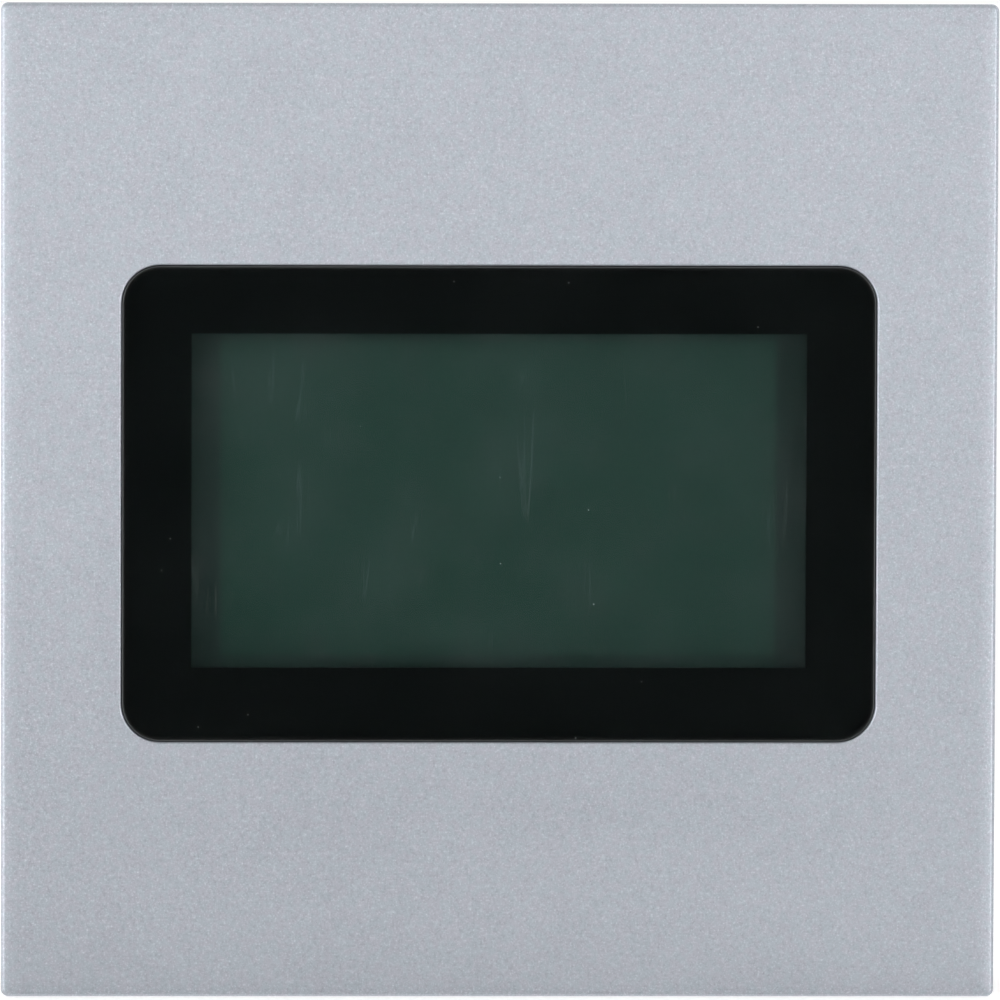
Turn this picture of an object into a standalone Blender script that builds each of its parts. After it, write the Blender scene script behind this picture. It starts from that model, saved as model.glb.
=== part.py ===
"""Display module of a modular wall-mounted time clock, built as it comes apart on a bench.

Metres, +Z up. The front face looks along -Y, and the origin is the centre of the rear housing's
flat back face, which seats in the wall frame. The sizes of the display window drive the front,
and the depths are one stack from the front face to the back.
"""

import math

import bmesh
import bpy
from mathutils import Matrix

MM = 0.001

# Gaps between pieces.
LAYER_GAP = 0.1 * MM  # between stacked or bonded layers
FIT_GAP = 0.2 * MM  # between a piece and the hole or seat it sits in
LENS_GAP = 0.15 * MM  # between the lens edge and its pocket

# Display window and the lens around it.
WINDOW_W = 69.8 * MM
WINDOW_H = 38.0 * MM
BORDER_SIDE = 7.85 * MM
BORDER_TOP = 7.7 * MM
BORDER_BOTTOM = 8.35 * MM
LENS_T = 1.1 * MM
LENS_CORNER = 4.3 * MM
LENS_CHAMFER = 0.15 * MM
LENS_RECESS = 0.1 * MM
MASK_T = 0.15 * MM
TAPE_T = 0.5 * MM
LEDGE_W = 5.3 * MM  # step in the plate that the lens is taped to
LEDGE_CORNER = 2.0 * MM

# Faceplate.
PLATE_MARGIN = 13.75 * MM  # metal to the left and right of the lens
PLATE_T = 3.5 * MM
PLATE_CORNER = 0.8 * MM
PLATE_CHAMFER = 0.4 * MM
POCKET_CHAMFER = 0.2 * MM

# Display cell, backlight and its circuit board.
VIEW_OVERLAP = 1.2 * MM  # how far the cell's viewing area runs under the lens border
CELL_RIM_W = 2.4 * MM
CELL_RIM_H = 1.8 * MM
CONTACT_LEDGE = 1.8 * MM  # strip of the rear glass that carries the contacts
GLASS_T = 0.7 * MM
POLARISER_T = 0.2 * MM
DIFFUSER_T = 0.2 * MM
GUIDE_T = 3.0 * MM
REFLECTOR_T = 0.15 * MM
SHEET_RIM = 1.35 * MM  # how far the backlight sheets run past the viewing area
LED_STRIP_T = 1.2 * MM
GASKET_T = 1.0 * MM
GASKET_W = 1.9 * MM
BEZEL_T = 0.4 * MM
BEZEL_ROOM = 0.8 * MM  # between the rear glass and the bezel's side
BEZEL_TAB_W = 3.0 * MM
BEZEL_TAB_X = 25.0 * MM
BEZEL_TAB_PROUD = 1.2 * MM
BOARD_T = 1.6 * MM
BOARD_RIM_W = 6.5 * MM
BOARD_RIM_H = 10.0 * MM
BOARD_CORNER = 1.0 * MM
HOLE_INSET = 2.5 * MM
BLOB_R = 6.5 * MM
BLOB_H = 1.6 * MM
BLOB_PITCH = 24.0 * MM
BLOB_COUNT = 3

# Board-to-board connector.
PIN_PITCH = 2.54 * MM
PIN_COUNT = 20
PIN_W = 0.64 * MM
HEADER_W = 2.5 * MM
HEADER_H = 2.5 * MM
HEADER_INSET = 4.0 * MM
PIN_REACH = 4.6 * MM

# Room behind the display board.
BOARD_GAP = 9.25 * MM  # display board to main board
REAR_ROOM = 5.6 * MM  # main board to the housing's floor

# Rear housing.
PLATE_RIM = 4.0 * MM  # plate edge that overhangs the housing
HOUSING_WALL = 2.2 * MM
HOUSING_FLOOR = 2.5 * MM
HOUSING_CORNER = 4.0 * MM
HOUSING_CHAMFER = 1.5 * MM
SEAL_T = 0.7 * MM
SEAL_W = 1.6 * MM
POST_INSET = 6.5 * MM  # corner screws and mounting inserts, from the housing's side
POST_R = 4.75 * MM
PILLAR_R = 3.0 * MM  # pillars that carry the main board
PILLAR_RIM = 1.0 * MM  # board between a pillar and its edge
PLATE_BOSS_R = 4.0 * MM
PLATE_BOSS_H = 6.0 * MM
COUNTERBORE_R = 3.3 * MM
COUNTERBORE_DEPTH = 3.2 * MM
CHANNEL_W = 10.0 * MM
CHANNEL_DEPTH = 1.2 * MM

# Screws: shank radius, head radius and head height.
HOUSING_SCREW = (1.45 * MM, 2.8 * MM, 2.1 * MM)
SMALL_SCREW = (1.15 * MM, 2.2 * MM, 1.6 * MM)
HOUSING_SCREW_BITE = 4.5 * MM
DISPLAY_SCREW_BITE = 4.0 * MM
BOARD_SCREW_BITE = 3.6 * MM
DISPLAY_BOSS_R = 2.8 * MM
SCREW_TIP = 0.6  # width of the tip over the shank

# Mounting inserts.
INSERT_Z = 24.0 * MM
INSERT_L = 5.0 * MM
INSERT_R = 2.1 * MM
INSERT_BORE_R = 1.25 * MM
INSERT_BOSS_R = 3.75 * MM
INSERT_CAP = 1.2 * MM  # closed end of the insert's boss
INSERT_GROOVE = 0.3 * MM

# Link sockets.
SOCKET_Z = 24.0 * MM
SOCKET_W = 16.4 * MM
SOCKET_H = 8.8 * MM
SOCKET_WALL = 1.2 * MM
SOCKET_BASE = 1.4 * MM
SOCKET_SINK = 0.6 * MM  # mouth below the back face
KEY_W = 3.0 * MM

# Address switch.
SWITCH_X = 22.0 * MM
SLIDER_COUNT = 4
SLIDER_PITCH = 2.54 * MM
SLIDER_TRAVEL = 1.3 * MM
SLIDER_W = 1.9 * MM
SLIDER_H = 1.3 * MM
NUB_W = 1.0 * MM
NUB_H = 0.45 * MM
SWITCH_W = 6.6 * MM
SWITCH_T = 3.4 * MM
SWITCH_RIM = 0.8 * MM
SLOT_DEPTH = 1.55 * MM
WINDOW_ROOM = 0.9 * MM

# Contrast trimmer.
TRIMMER_Z = -20.0 * MM
TRIMMER_SIDE = 6.8 * MM
TRIMMER_T = 4.2 * MM
ROTOR_R = 2.15 * MM
ROTOR_T = 1.3 * MM
ROTOR_SLOT = 0.6 * MM
TOOL_HOLE_R = 2.0 * MM

# Reset switch.
RESET_Z = -20.0 * MM
RESET_SIDE = 6.0 * MM
RESET_T = 3.6 * MM
RESET_R = 1.65 * MM
RESET_PROUD = 0.8 * MM
RESET_TRAVEL = 0.25 * MM
RESET_BURIED = 1.0 * MM
PIN_HOLE_R = 1.5 * MM

# Tamper switch.
TAMPER_X = 24.0 * MM
TAMPER_SIDE = 8.0 * MM
TAMPER_TRAVEL = 2.0 * MM
PLUNGER_R = 2.5 * MM
PLUNGER_PROUD = 3.0 * MM
PLUNGER_END_T = 0.8 * MM
FLANGE_R = 3.6 * MM
FLANGE_T = 1.6 * MM
SPRING_R = 1.25 * MM
SPRING_WIRE_R = 0.175 * MM
SPRING_TURNS = 5
SPRING_POST_W = 1.2 * MM
SPRING_POST_H = 1.0 * MM

# Vent.
VENT_X = -24.0 * MM
VENT_Z = 24.0 * MM
VENT_R = 4.1 * MM
VENT_T = 0.25 * MM
VENT_RECESS = 0.4 * MM
VENT_HOLE_R = 0.8 * MM
VENT_HOLE_RING = 2.2 * MM

# Main board parts.
CHIP_SIDE = 10.0 * MM
CHIP_T = 1.4 * MM
CHIP_LEGS = 6
LEG_W = 0.35 * MM
LEG_L = 1.0 * MM
LEG_T = 0.25 * MM
CAPACITOR_R = 3.15 * MM
CAPACITOR_H = 6.6 * MM
INDUCTOR_SIDE = 7.0 * MM
INDUCTOR_H = 3.4 * MM
CRYSTAL_W = 11.0 * MM
CRYSTAL_H = 3.5 * MM
CRYSTAL_T = 4.2 * MM

# Widths worked out from the sizes above.
LENS_W = WINDOW_W + 2 * BORDER_SIDE
LENS_H = WINDOW_H + BORDER_TOP + BORDER_BOTTOM
LENS_Z = (BORDER_TOP - BORDER_BOTTOM) / 2
POCKET_W = LENS_W + 2 * LENS_GAP
POCKET_H = LENS_H + 2 * LENS_GAP
POCKET_CORNER = LENS_CORNER + LENS_GAP
LEDGE_OPEN_W = POCKET_W - 2 * LEDGE_W
LEDGE_OPEN_H = POCKET_H - 2 * LEDGE_W
PLATE_SIDE = LENS_W + 2 * PLATE_MARGIN
VIEW_W = WINDOW_W + 2 * VIEW_OVERLAP
VIEW_H = WINDOW_H + 2 * VIEW_OVERLAP
CELL_W = VIEW_W + 2 * CELL_RIM_W
CELL_H = VIEW_H + 2 * CELL_RIM_H
FILM_W = VIEW_W + CELL_RIM_W
FILM_H = VIEW_H + CELL_RIM_H
REAR_GLASS_H = CELL_H + 2 * CONTACT_LEDGE
BEZEL_W = CELL_W + 2 * (BEZEL_ROOM + BEZEL_T)
BEZEL_H = REAR_GLASS_H + 2 * (BEZEL_ROOM + BEZEL_T)
BOARD_W = BEZEL_W + 2 * BOARD_RIM_W
BOARD_H = BEZEL_H + 2 * BOARD_RIM_H
HOLE_X = BOARD_W / 2 - HOLE_INSET
HOLE_Z = BOARD_H / 2 - HOLE_INSET
HEADER_L = PIN_PITCH * PIN_COUNT
HEADER_Z = BOARD_H / 2 - HEADER_INSET
HOUSING_SIDE = PLATE_SIDE - 2 * PLATE_RIM
POST_X = HOUSING_SIDE / 2 - POST_INSET
MAIN_W = 2 * (POST_X - POST_R - FIT_GAP)
MAIN_H = BOARD_H + HEADER_INSET
PILLAR_X = MAIN_W / 2 - PILLAR_R - PILLAR_RIM
PILLAR_Z = MAIN_H / 2 - PILLAR_R - PILLAR_RIM
SWITCH_H = SLIDER_COUNT * SLIDER_PITCH + 2 * SWITCH_RIM

# Depths below the front face, in stacking order.
LENS_BACK = LENS_RECESS + LENS_T
MASK_FRONT = LENS_BACK + LAYER_GAP
TAPE_FRONT = MASK_FRONT + MASK_T + LAYER_GAP
POCKET_DEPTH = TAPE_FRONT + TAPE_T + LAYER_GAP
GASKET_FRONT = PLATE_T + LAYER_GAP
BEZEL_FRONT = GASKET_FRONT + GASKET_T + LAYER_GAP
FRONT_POLARISER = BEZEL_FRONT + BEZEL_T + LAYER_GAP
FRONT_GLASS = FRONT_POLARISER + POLARISER_T + LAYER_GAP
REAR_GLASS = FRONT_GLASS + GLASS_T + LAYER_GAP
REAR_POLARISER = REAR_GLASS + GLASS_T + LAYER_GAP
DIFFUSER_FRONT = REAR_POLARISER + POLARISER_T + LAYER_GAP
GUIDE_FRONT = DIFFUSER_FRONT + DIFFUSER_T + LAYER_GAP
REFLECTOR_FRONT = GUIDE_FRONT + GUIDE_T + LAYER_GAP
BOARD_FRONT = REFLECTOR_FRONT + REFLECTOR_T + LAYER_GAP
BOARD_BACK = BOARD_FRONT + BOARD_T
MAIN_FRONT = BOARD_BACK + BOARD_GAP
MAIN_BACK = MAIN_FRONT + BOARD_T
FLOOR_FRONT = MAIN_BACK + REAR_ROOM
TOTAL_DEPTH = FLOOR_FRONT + HOUSING_FLOOR
SEAL_FRONT = PLATE_T + LAYER_GAP
HOUSING_FRONT = SEAL_FRONT + SEAL_T + LAYER_GAP
PLATE_BOSS_END = PLATE_T + PLATE_BOSS_H
DISPLAY_BOSS_END = BOARD_FRONT - LAYER_GAP

CORNERS = [(1, 1), (-1, 1), (-1, -1), (1, -1)]
OVERLAP = 0.5 * MM  # how far joined shapes run into each other, and cutters past a face
FINE_STEPS = 20
PLAIN_STEPS = 12
HOLE_STEPS = 10
CORNER_STEPS = 4

# Colour, roughness and metallic value of each material.
MATERIALS = {
    "anodised_aluminium": ((0.50, 0.53, 0.58), 0.45, 1.0),
    "clear_glass": ((0.80, 0.86, 0.84), 0.05, 0.0),
    "black_print": ((0.006, 0.008, 0.008), 0.30, 0.0),
    "foam_tape": ((0.02, 0.02, 0.02), 0.90, 0.0),
    "grey_silicone": ((0.16, 0.17, 0.18), 0.70, 0.0),
    "black_steel": ((0.02, 0.02, 0.02), 0.45, 0.6),
    "polariser_film": ((0.03, 0.06, 0.05), 0.25, 0.0),
    "white_sheet": ((0.85, 0.86, 0.84), 0.60, 0.0),
    "clear_acrylic": ((0.85, 0.88, 0.90), 0.10, 0.0),
    "zebra_rubber": ((0.30, 0.32, 0.36), 0.70, 0.0),
    "green_board": ((0.02, 0.13, 0.05), 0.40, 0.0),
    "blue_board": ((0.02, 0.07, 0.22), 0.40, 0.0),
    "black_epoxy": ((0.01, 0.01, 0.01), 0.35, 0.0),
    "black_abs": ((0.02, 0.02, 0.022), 0.55, 0.0),
    "white_nylon": ((0.80, 0.78, 0.70), 0.50, 0.0),
    "red_switch": ((0.55, 0.03, 0.02), 0.40, 0.0),
    "blue_trimmer": ((0.03, 0.12, 0.45), 0.40, 0.0),
    "zinc_steel": ((0.62, 0.63, 0.65), 0.35, 1.0),
    "brass": ((0.70, 0.52, 0.22), 0.35, 1.0),
    "vent_film": ((0.75, 0.76, 0.76), 0.80, 0.0),
}


def y_at(depth):
    """Y of a depth below the front face."""
    return depth - TOTAL_DEPTH


def clear_scene():
    """Removes what the startup scene holds."""
    for obj in list(bpy.data.objects):
        bpy.data.objects.remove(obj, do_unlink=True)


def material(name):
    """The named material, made the first time it is asked for."""
    if name in bpy.data.materials:
        return bpy.data.materials[name]
    colour, roughness, metallic = MATERIALS[name]
    made = bpy.data.materials.new(name)
    made.use_nodes = True
    shader = made.node_tree.nodes["Principled BSDF"]
    shader.inputs["Base Color"].default_value = (*colour, 1.0)
    shader.inputs["Roughness"].default_value = roughness
    shader.inputs["Metallic"].default_value = metallic
    return made


def assembly(name):
    """An empty that gathers the pieces of one sub-assembly."""
    empty = bpy.data.objects.new(name, None)
    bpy.context.scene.collection.objects.link(empty)
    return empty


def finish(name, bm, finish_name, at, parent):
    """Turns a bmesh into a named object at a place, with its faces pointing out."""
    bmesh.ops.recalc_face_normals(bm, faces=bm.faces)
    mesh = bpy.data.meshes.new(name)
    bm.to_mesh(mesh)
    bm.free()
    mesh.shade_smooth()
    mesh.set_sharp_from_angle(angle=math.radians(35))
    obj = bpy.data.objects.new(name, mesh)
    bpy.context.scene.collection.objects.link(obj)
    obj.location = at
    if finish_name:
        mesh.materials.append(material(finish_name))
        obj.parent = parent
    else:
        obj.hide_render = True
        obj.display_type = "WIRE"
    return obj


def outline(width, height, radius, steps=CORNER_STEPS):
    """Points of a rectangle in X and Z, its corners rounded where the radius isn't zero."""
    if radius <= 0:
        return [(sx * width / 2, sz * height / 2) for sx, sz in CORNERS]
    points = []
    for turn, (sx, sz) in enumerate(CORNERS):
        cx, cz = sx * (width / 2 - radius), sz * (height / 2 - radius)
        for step in range(steps + 1):
            angle = math.pi / 2 * (turn + step / steps)
            points.append((cx + radius * math.cos(angle), cz + radius * math.sin(angle)))
    return points


def loft(name, sections, finish_name=None, at=(0, 0, 0), parent=None):
    """A closed solid whose outline changes along Y. A section is (y, width, height, radius).

    Without a finish it is a helper that only cuts or joins.
    """
    bm = bmesh.new()
    rings = []
    for y, width, height, radius in sections:
        rings.append([bm.verts.new((x, y, z)) for x, z in outline(width, height, radius)])
    bm.faces.new(rings[0])
    bm.faces.new(rings[-1][::-1])
    for near, far in zip(rings, rings[1:]):
        for i in range(len(near)):
            bm.faces.new((near[i - 1], near[i], far[i], far[i - 1]))
    return finish(name, bm, finish_name, at, parent)


def slab(name, width, height, thickness, finish_name=None, at=(0, 0, 0), parent=None, radius=0):
    """A plain plate or block whose front face is at its own origin."""
    sections = [(0, width, height, radius), (thickness, width, height, radius)]
    return loft(name, sections, finish_name, at, parent)


def frame_ring(name, outer, inner, thickness, finish_name, at, parent):
    """A flat rectangular ring. Outer and inner are (width, height, radius)."""
    bm = bmesh.new()
    loops = []
    for y in (0, thickness):
        for width, height, radius in (outer, inner):
            loops.append([bm.verts.new((x, y, z)) for x, z in outline(width, height, radius)])
    front_out, front_in, back_out, back_in = loops
    for first, second in (
        (front_out, front_in),
        (front_in, back_in),
        (back_in, back_out),
        (back_out, front_out),
    ):
        for i in range(len(first)):
            bm.faces.new((first[i - 1], first[i], second[i], second[i - 1]))
    return finish(name, bm, finish_name, at, parent)


def turned(name, profile, finish_name=None, at=(0, 0, 0), parent=None, steps=PLAIN_STEPS, hollow=False):
    """A piece turned about a line along Y. The profile is (y, radius) from end to end.

    A hollow piece's profile is a closed loop clear of the axis.
    """
    bm = bmesh.new()
    verts = [bm.verts.new((radius, y, 0)) for y, radius in profile]
    pairs = list(zip(verts, verts[1:]))
    if hollow:
        pairs.append((verts[-1], verts[0]))
    edges = [bm.edges.new(pair) for pair in pairs]
    bmesh.ops.spin(
        bm,
        geom=verts + edges,
        cent=(0, 0, 0),
        axis=(0, 1, 0),
        angle=math.tau,
        steps=steps,
        use_merge=True,
    )
    bmesh.ops.remove_doubles(bm, verts=bm.verts, dist=0.001 * MM)
    return finish(name, bm, finish_name, at, parent)


def rod(name, radius, length, finish_name=None, at=(0, 0, 0), parent=None, steps=PLAIN_STEPS):
    """A plain round bar along +Y from its own origin."""
    profile = [(0, 0), (0, radius), (length, radius), (length, 0)]
    return turned(name, profile, finish_name, at, parent, steps)


def blocks(name, places, size):
    """A helper of several equal blocks, each centred on one of the places."""
    bm = bmesh.new()
    scale = Matrix.Diagonal((*size, 1))
    for place in places:
        bmesh.ops.create_cube(bm, size=1, matrix=Matrix.Translation(place) @ scale)
    return finish(name, bm, None, (0, 0, 0), None)


def combine(body, operation, *tools):
    """Joins helpers to a body, or cuts them from it."""
    for tool in tools:
        modifier = body.modifiers.new(tool.name, "BOOLEAN")
        modifier.operation = operation
        modifier.solver = "EXACT"
        modifier.object = tool
    return body


def corner_places(x, z, y):
    """The four places that mirror (x, z) at one Y."""
    return [(sx * x, y, sz * z) for sx, sz in CORNERS]


def screw(name, size, length, seat, towards, parent):
    """A pan-head screw with a cross recess.

    Seat is the point under its head, and towards is +1 if the head faces +Y.
    """
    shank_r, head_r, head_h = size
    profile = [
        (-length, 0),
        (-length, SCREW_TIP * shank_r),
        (-length + (1 - SCREW_TIP) * shank_r, shank_r),
        (0, shank_r),
        (0, head_r),
        (0.5 * head_h, head_r),
        (head_h, 0.62 * head_r),
        (head_h, 0),
    ]
    body = turned(name, [(towards * y, r) for y, r in profile], "zinc_steel", seat, parent)
    arm, width, depth = 1.15 * head_r, 0.22 * head_r, 0.5 * head_h
    middle = towards * (head_h + OVERLAP - (depth + OVERLAP) / 2)
    x, y, z = seat
    for turn, (w, h) in enumerate(((arm, width), (width, arm))):
        cutter = blocks(f"{name}_recess_{turn}", [(x, y + middle, z)], (w, depth + OVERLAP, h))
        combine(body, "DIFFERENCE", cutter)
    return body


def make_faceplate(parent):
    """The metal front: a chamfered plate with a stepped window and bosses on its back."""
    inset = 2 * PLATE_CHAMFER
    plate = loft(
        "faceplate",
        [
            (0, PLATE_SIDE - inset, PLATE_SIDE - inset, PLATE_CORNER - PLATE_CHAMFER),
            (PLATE_CHAMFER, PLATE_SIDE, PLATE_SIDE, PLATE_CORNER),
            (PLATE_T, PLATE_SIDE, PLATE_SIDE, PLATE_CORNER),
        ],
        "anodised_aluminium",
        (0, y_at(0), 0),
        parent,
    )
    lift = POCKET_CHAMFER + OVERLAP
    pocket = loft(
        "pocket_cutter",
        [
            (-OVERLAP, POCKET_W + 2 * lift, POCKET_H + 2 * lift, POCKET_CORNER + lift),
            (POCKET_CHAMFER, POCKET_W, POCKET_H, POCKET_CORNER),
            (POCKET_DEPTH, POCKET_W, POCKET_H, POCKET_CORNER),
        ],
        at=(0, y_at(0), LENS_Z),
    )
    opening = slab(
        "opening_cutter",
        LEDGE_OPEN_W,
        LEDGE_OPEN_H,
        PLATE_T + OVERLAP,
        at=(0, y_at(OVERLAP), LENS_Z),
        radius=LEDGE_CORNER,
    )
    combine(plate, "DIFFERENCE", pocket, opening)
    boss_root = y_at(PLATE_T - OVERLAP)
    for kind, x, z, radius, end, (shank, _, _), bite in (
        ("corner", POST_X, POST_X, PLATE_BOSS_R, PLATE_BOSS_END, HOUSING_SCREW, HOUSING_SCREW_BITE),
        ("display", HOLE_X, HOLE_Z, DISPLAY_BOSS_R, DISPLAY_BOSS_END, SMALL_SCREW, DISPLAY_SCREW_BITE),
    ):
        for i, (px, py, pz) in enumerate(corner_places(x, z, boss_root)):
            boss = rod(f"{kind}_boss_{i}", radius, y_at(end) - boss_root, at=(px, py, pz))
            depth = bite + 2 * FIT_GAP
            hole = rod(
                f"{kind}_boss_hole_{i}",
                shank + LAYER_GAP,
                depth + OVERLAP,
                at=(px, y_at(end) - depth, pz),
                steps=HOLE_STEPS,
            )
            combine(plate, "UNION", boss)
            combine(plate, "DIFFERENCE", hole)
    return plate


def make_lens_group(parent):
    """The cover glass, the printed mask behind its border, and the tape frame that holds it."""
    chamfer = LENS_CHAMFER
    loft(
        "lens_glass",
        [
            (0, LENS_W - 2 * chamfer, LENS_H - 2 * chamfer, LENS_CORNER - chamfer),
            (chamfer, LENS_W, LENS_H, LENS_CORNER),
            (LENS_T, LENS_W, LENS_H, LENS_CORNER),
        ],
        "clear_glass",
        (0, y_at(LENS_RECESS), LENS_Z),
        parent,
    )
    at = (0, y_at(MASK_FRONT), LENS_Z)
    mask = slab("lens_mask", LENS_W, LENS_H, MASK_T, "black_print", at, parent, LENS_CORNER)
    window = slab(
        "mask_window_cutter",
        WINDOW_W,
        WINDOW_H,
        MASK_T + 2 * OVERLAP,
        at=(0, y_at(MASK_FRONT - OVERLAP), 0),
    )
    combine(mask, "DIFFERENCE", window)
    frame_ring(
        "lens_tape",
        (LENS_W, LENS_H, LENS_CORNER),
        (LEDGE_OPEN_W, LEDGE_OPEN_H, LEDGE_CORNER),
        TAPE_T,
        "foam_tape",
        (0, y_at(TAPE_FRONT), LENS_Z),
        parent,
    )
    frame_ring(
        "display_gasket",
        (VIEW_W + 2 * CELL_RIM_W, VIEW_H + 2 * CELL_RIM_H + 2 * GASKET_W, LEDGE_CORNER),
        (VIEW_W, VIEW_H, LEDGE_CORNER / 2),
        GASKET_T,
        "foam_tape",
        (0, y_at(GASKET_FRONT), 0),
        parent,
    )


def make_bezel(parent):
    """The pressed steel frame around the display cell, with tabs that hook through the board."""
    height = BOARD_FRONT - LAYER_GAP - BEZEL_FRONT
    bezel = slab("lcd_bezel", BEZEL_W, BEZEL_H, height, "black_steel", (0, y_at(BEZEL_FRONT), 0), parent)
    inside = slab(
        "bezel_inside_cutter",
        BEZEL_W - 2 * BEZEL_T,
        BEZEL_H - 2 * BEZEL_T,
        height,
        at=(0, y_at(BEZEL_FRONT + BEZEL_T), 0),
    )
    window = slab(
        "bezel_window_cutter", VIEW_W, VIEW_H, 2 * OVERLAP, at=(0, y_at(BEZEL_FRONT) - OVERLAP, 0)
    )
    combine(bezel, "DIFFERENCE", inside, window)
    tab_length = BOARD_T + BEZEL_TAB_PROUD
    for i, (x, y, z) in enumerate(corner_places(BEZEL_TAB_X, BEZEL_H / 2 - BEZEL_T / 2, y_at(BOARD_FRONT))):
        size = (BEZEL_TAB_W, tab_length + OVERLAP, BEZEL_T)
        middle = (x, y + (tab_length - OVERLAP) / 2, z)
        combine(bezel, "UNION", blocks(f"bezel_tab_{i}", [middle], size))
    return bezel


def make_display_module(parent):
    """The liquid-crystal cell, its contacts, the backlight and the display board."""
    make_bezel(parent)
    sheet_w, sheet_h = VIEW_W + 2 * SHEET_RIM, VIEW_H + 2 * SHEET_RIM
    for name, width, height, thickness, finish_name, depth in (
        ("front_polariser", FILM_W, FILM_H, POLARISER_T, "polariser_film", FRONT_POLARISER),
        ("lcd_front_glass", CELL_W, CELL_H, GLASS_T, "clear_glass", FRONT_GLASS),
        ("lcd_rear_glass", CELL_W, REAR_GLASS_H, GLASS_T, "clear_glass", REAR_GLASS),
        ("rear_polariser", FILM_W, FILM_H, POLARISER_T, "polariser_film", REAR_POLARISER),
        ("diffuser_sheet", sheet_w, sheet_h, DIFFUSER_T, "white_sheet", DIFFUSER_FRONT),
        ("light_guide", sheet_w, sheet_h, GUIDE_T, "clear_acrylic", GUIDE_FRONT),
        ("reflector_sheet", sheet_w, sheet_h, REFLECTOR_T, "white_sheet", REFLECTOR_FRONT),
    ):
        slab(name, width, height, thickness, finish_name, (0, y_at(depth), 0), parent)
    contact_z = CELL_H / 2 + CONTACT_LEDGE / 2
    contact_front = REAR_GLASS + GLASS_T + LAYER_GAP
    for name, side in (("zebra_strip_upper", 1), ("zebra_strip_lower", -1)):
        slab(
            name,
            CELL_W - 2 * CELL_RIM_W,
            CONTACT_LEDGE - 2 * FIT_GAP,
            BOARD_FRONT - LAYER_GAP - contact_front,
            "zebra_rubber",
            (0, y_at(contact_front), side * contact_z),
            parent,
        )
    strip_x = -(sheet_w / 2 + FIT_GAP + LED_STRIP_T / 2)
    slab(
        "backlight_strip",
        LED_STRIP_T,
        sheet_h - 2 * SHEET_RIM,
        GUIDE_T,
        "white_sheet",
        (strip_x, y_at(GUIDE_FRONT), 0),
        parent,
    )
    make_display_board(parent)


def drill_board(board, x, z, front):
    """Drills a circuit board's four screw holes."""
    for i, place in enumerate(corner_places(x, z, y_at(front - OVERLAP))):
        length = BOARD_T + 2 * OVERLAP
        hole = rod(f"{board.name}_hole_{i}", SMALL_SCREW[0] + FIT_GAP, length, at=place, steps=HOLE_STEPS)
        combine(board, "DIFFERENCE", hole)


def make_display_board(parent):
    """The display's circuit board with its driver blobs, pin header and screws."""
    at = (0, y_at(BOARD_FRONT), 0)
    board = slab("display_board", BOARD_W, BOARD_H, BOARD_T, "green_board", at, parent, BOARD_CORNER)
    drill_board(board, HOLE_X, HOLE_Z, BOARD_FRONT)
    slots = corner_places(BEZEL_TAB_X, BEZEL_H / 2 - BEZEL_T / 2, y_at(BOARD_FRONT + BOARD_T / 2))
    slot_size = (BEZEL_TAB_W + 2 * FIT_GAP, BOARD_T + 2 * OVERLAP, BEZEL_T + 2 * FIT_GAP)
    combine(board, "DIFFERENCE", blocks("tab_slots", slots, slot_size))
    blob_back = BOARD_BACK + LAYER_GAP
    dome = [(0, 0), (0, BLOB_R), (0.4 * BLOB_H, 0.9 * BLOB_R), (0.8 * BLOB_H, 0.6 * BLOB_R), (BLOB_H, 0)]
    for i in range(BLOB_COUNT):
        at = ((i - (BLOB_COUNT - 1) / 2) * BLOB_PITCH, y_at(blob_back), 0)
        turned(f"driver_blob_{i + 1}", dome, "black_epoxy", at, parent)
    header = slab(
        "display_header",
        HEADER_L,
        HEADER_W,
        HEADER_H,
        "black_epoxy",
        (0, y_at(BOARD_BACK + LAYER_GAP), HEADER_Z),
        parent,
    )
    pin_front = BOARD_BACK + LAYER_GAP + HEADER_H / 2
    pin_length = HEADER_H / 2 + PIN_REACH
    pins = [
        ((i - (PIN_COUNT - 1) / 2) * PIN_PITCH, y_at(pin_front + pin_length / 2), HEADER_Z)
        for i in range(PIN_COUNT)
    ]
    combine(header, "UNION", blocks("header_pins", pins, (PIN_W, pin_length, PIN_W)))
    seats = corner_places(HOLE_X, HOLE_Z, y_at(BOARD_BACK + LAYER_GAP))
    length = LAYER_GAP + BOARD_T + LAYER_GAP + DISPLAY_SCREW_BITE
    for i, seat in enumerate(seats):
        screw(f"display_screw_{i + 1}", SMALL_SCREW, length, seat, 1, parent)


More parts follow.
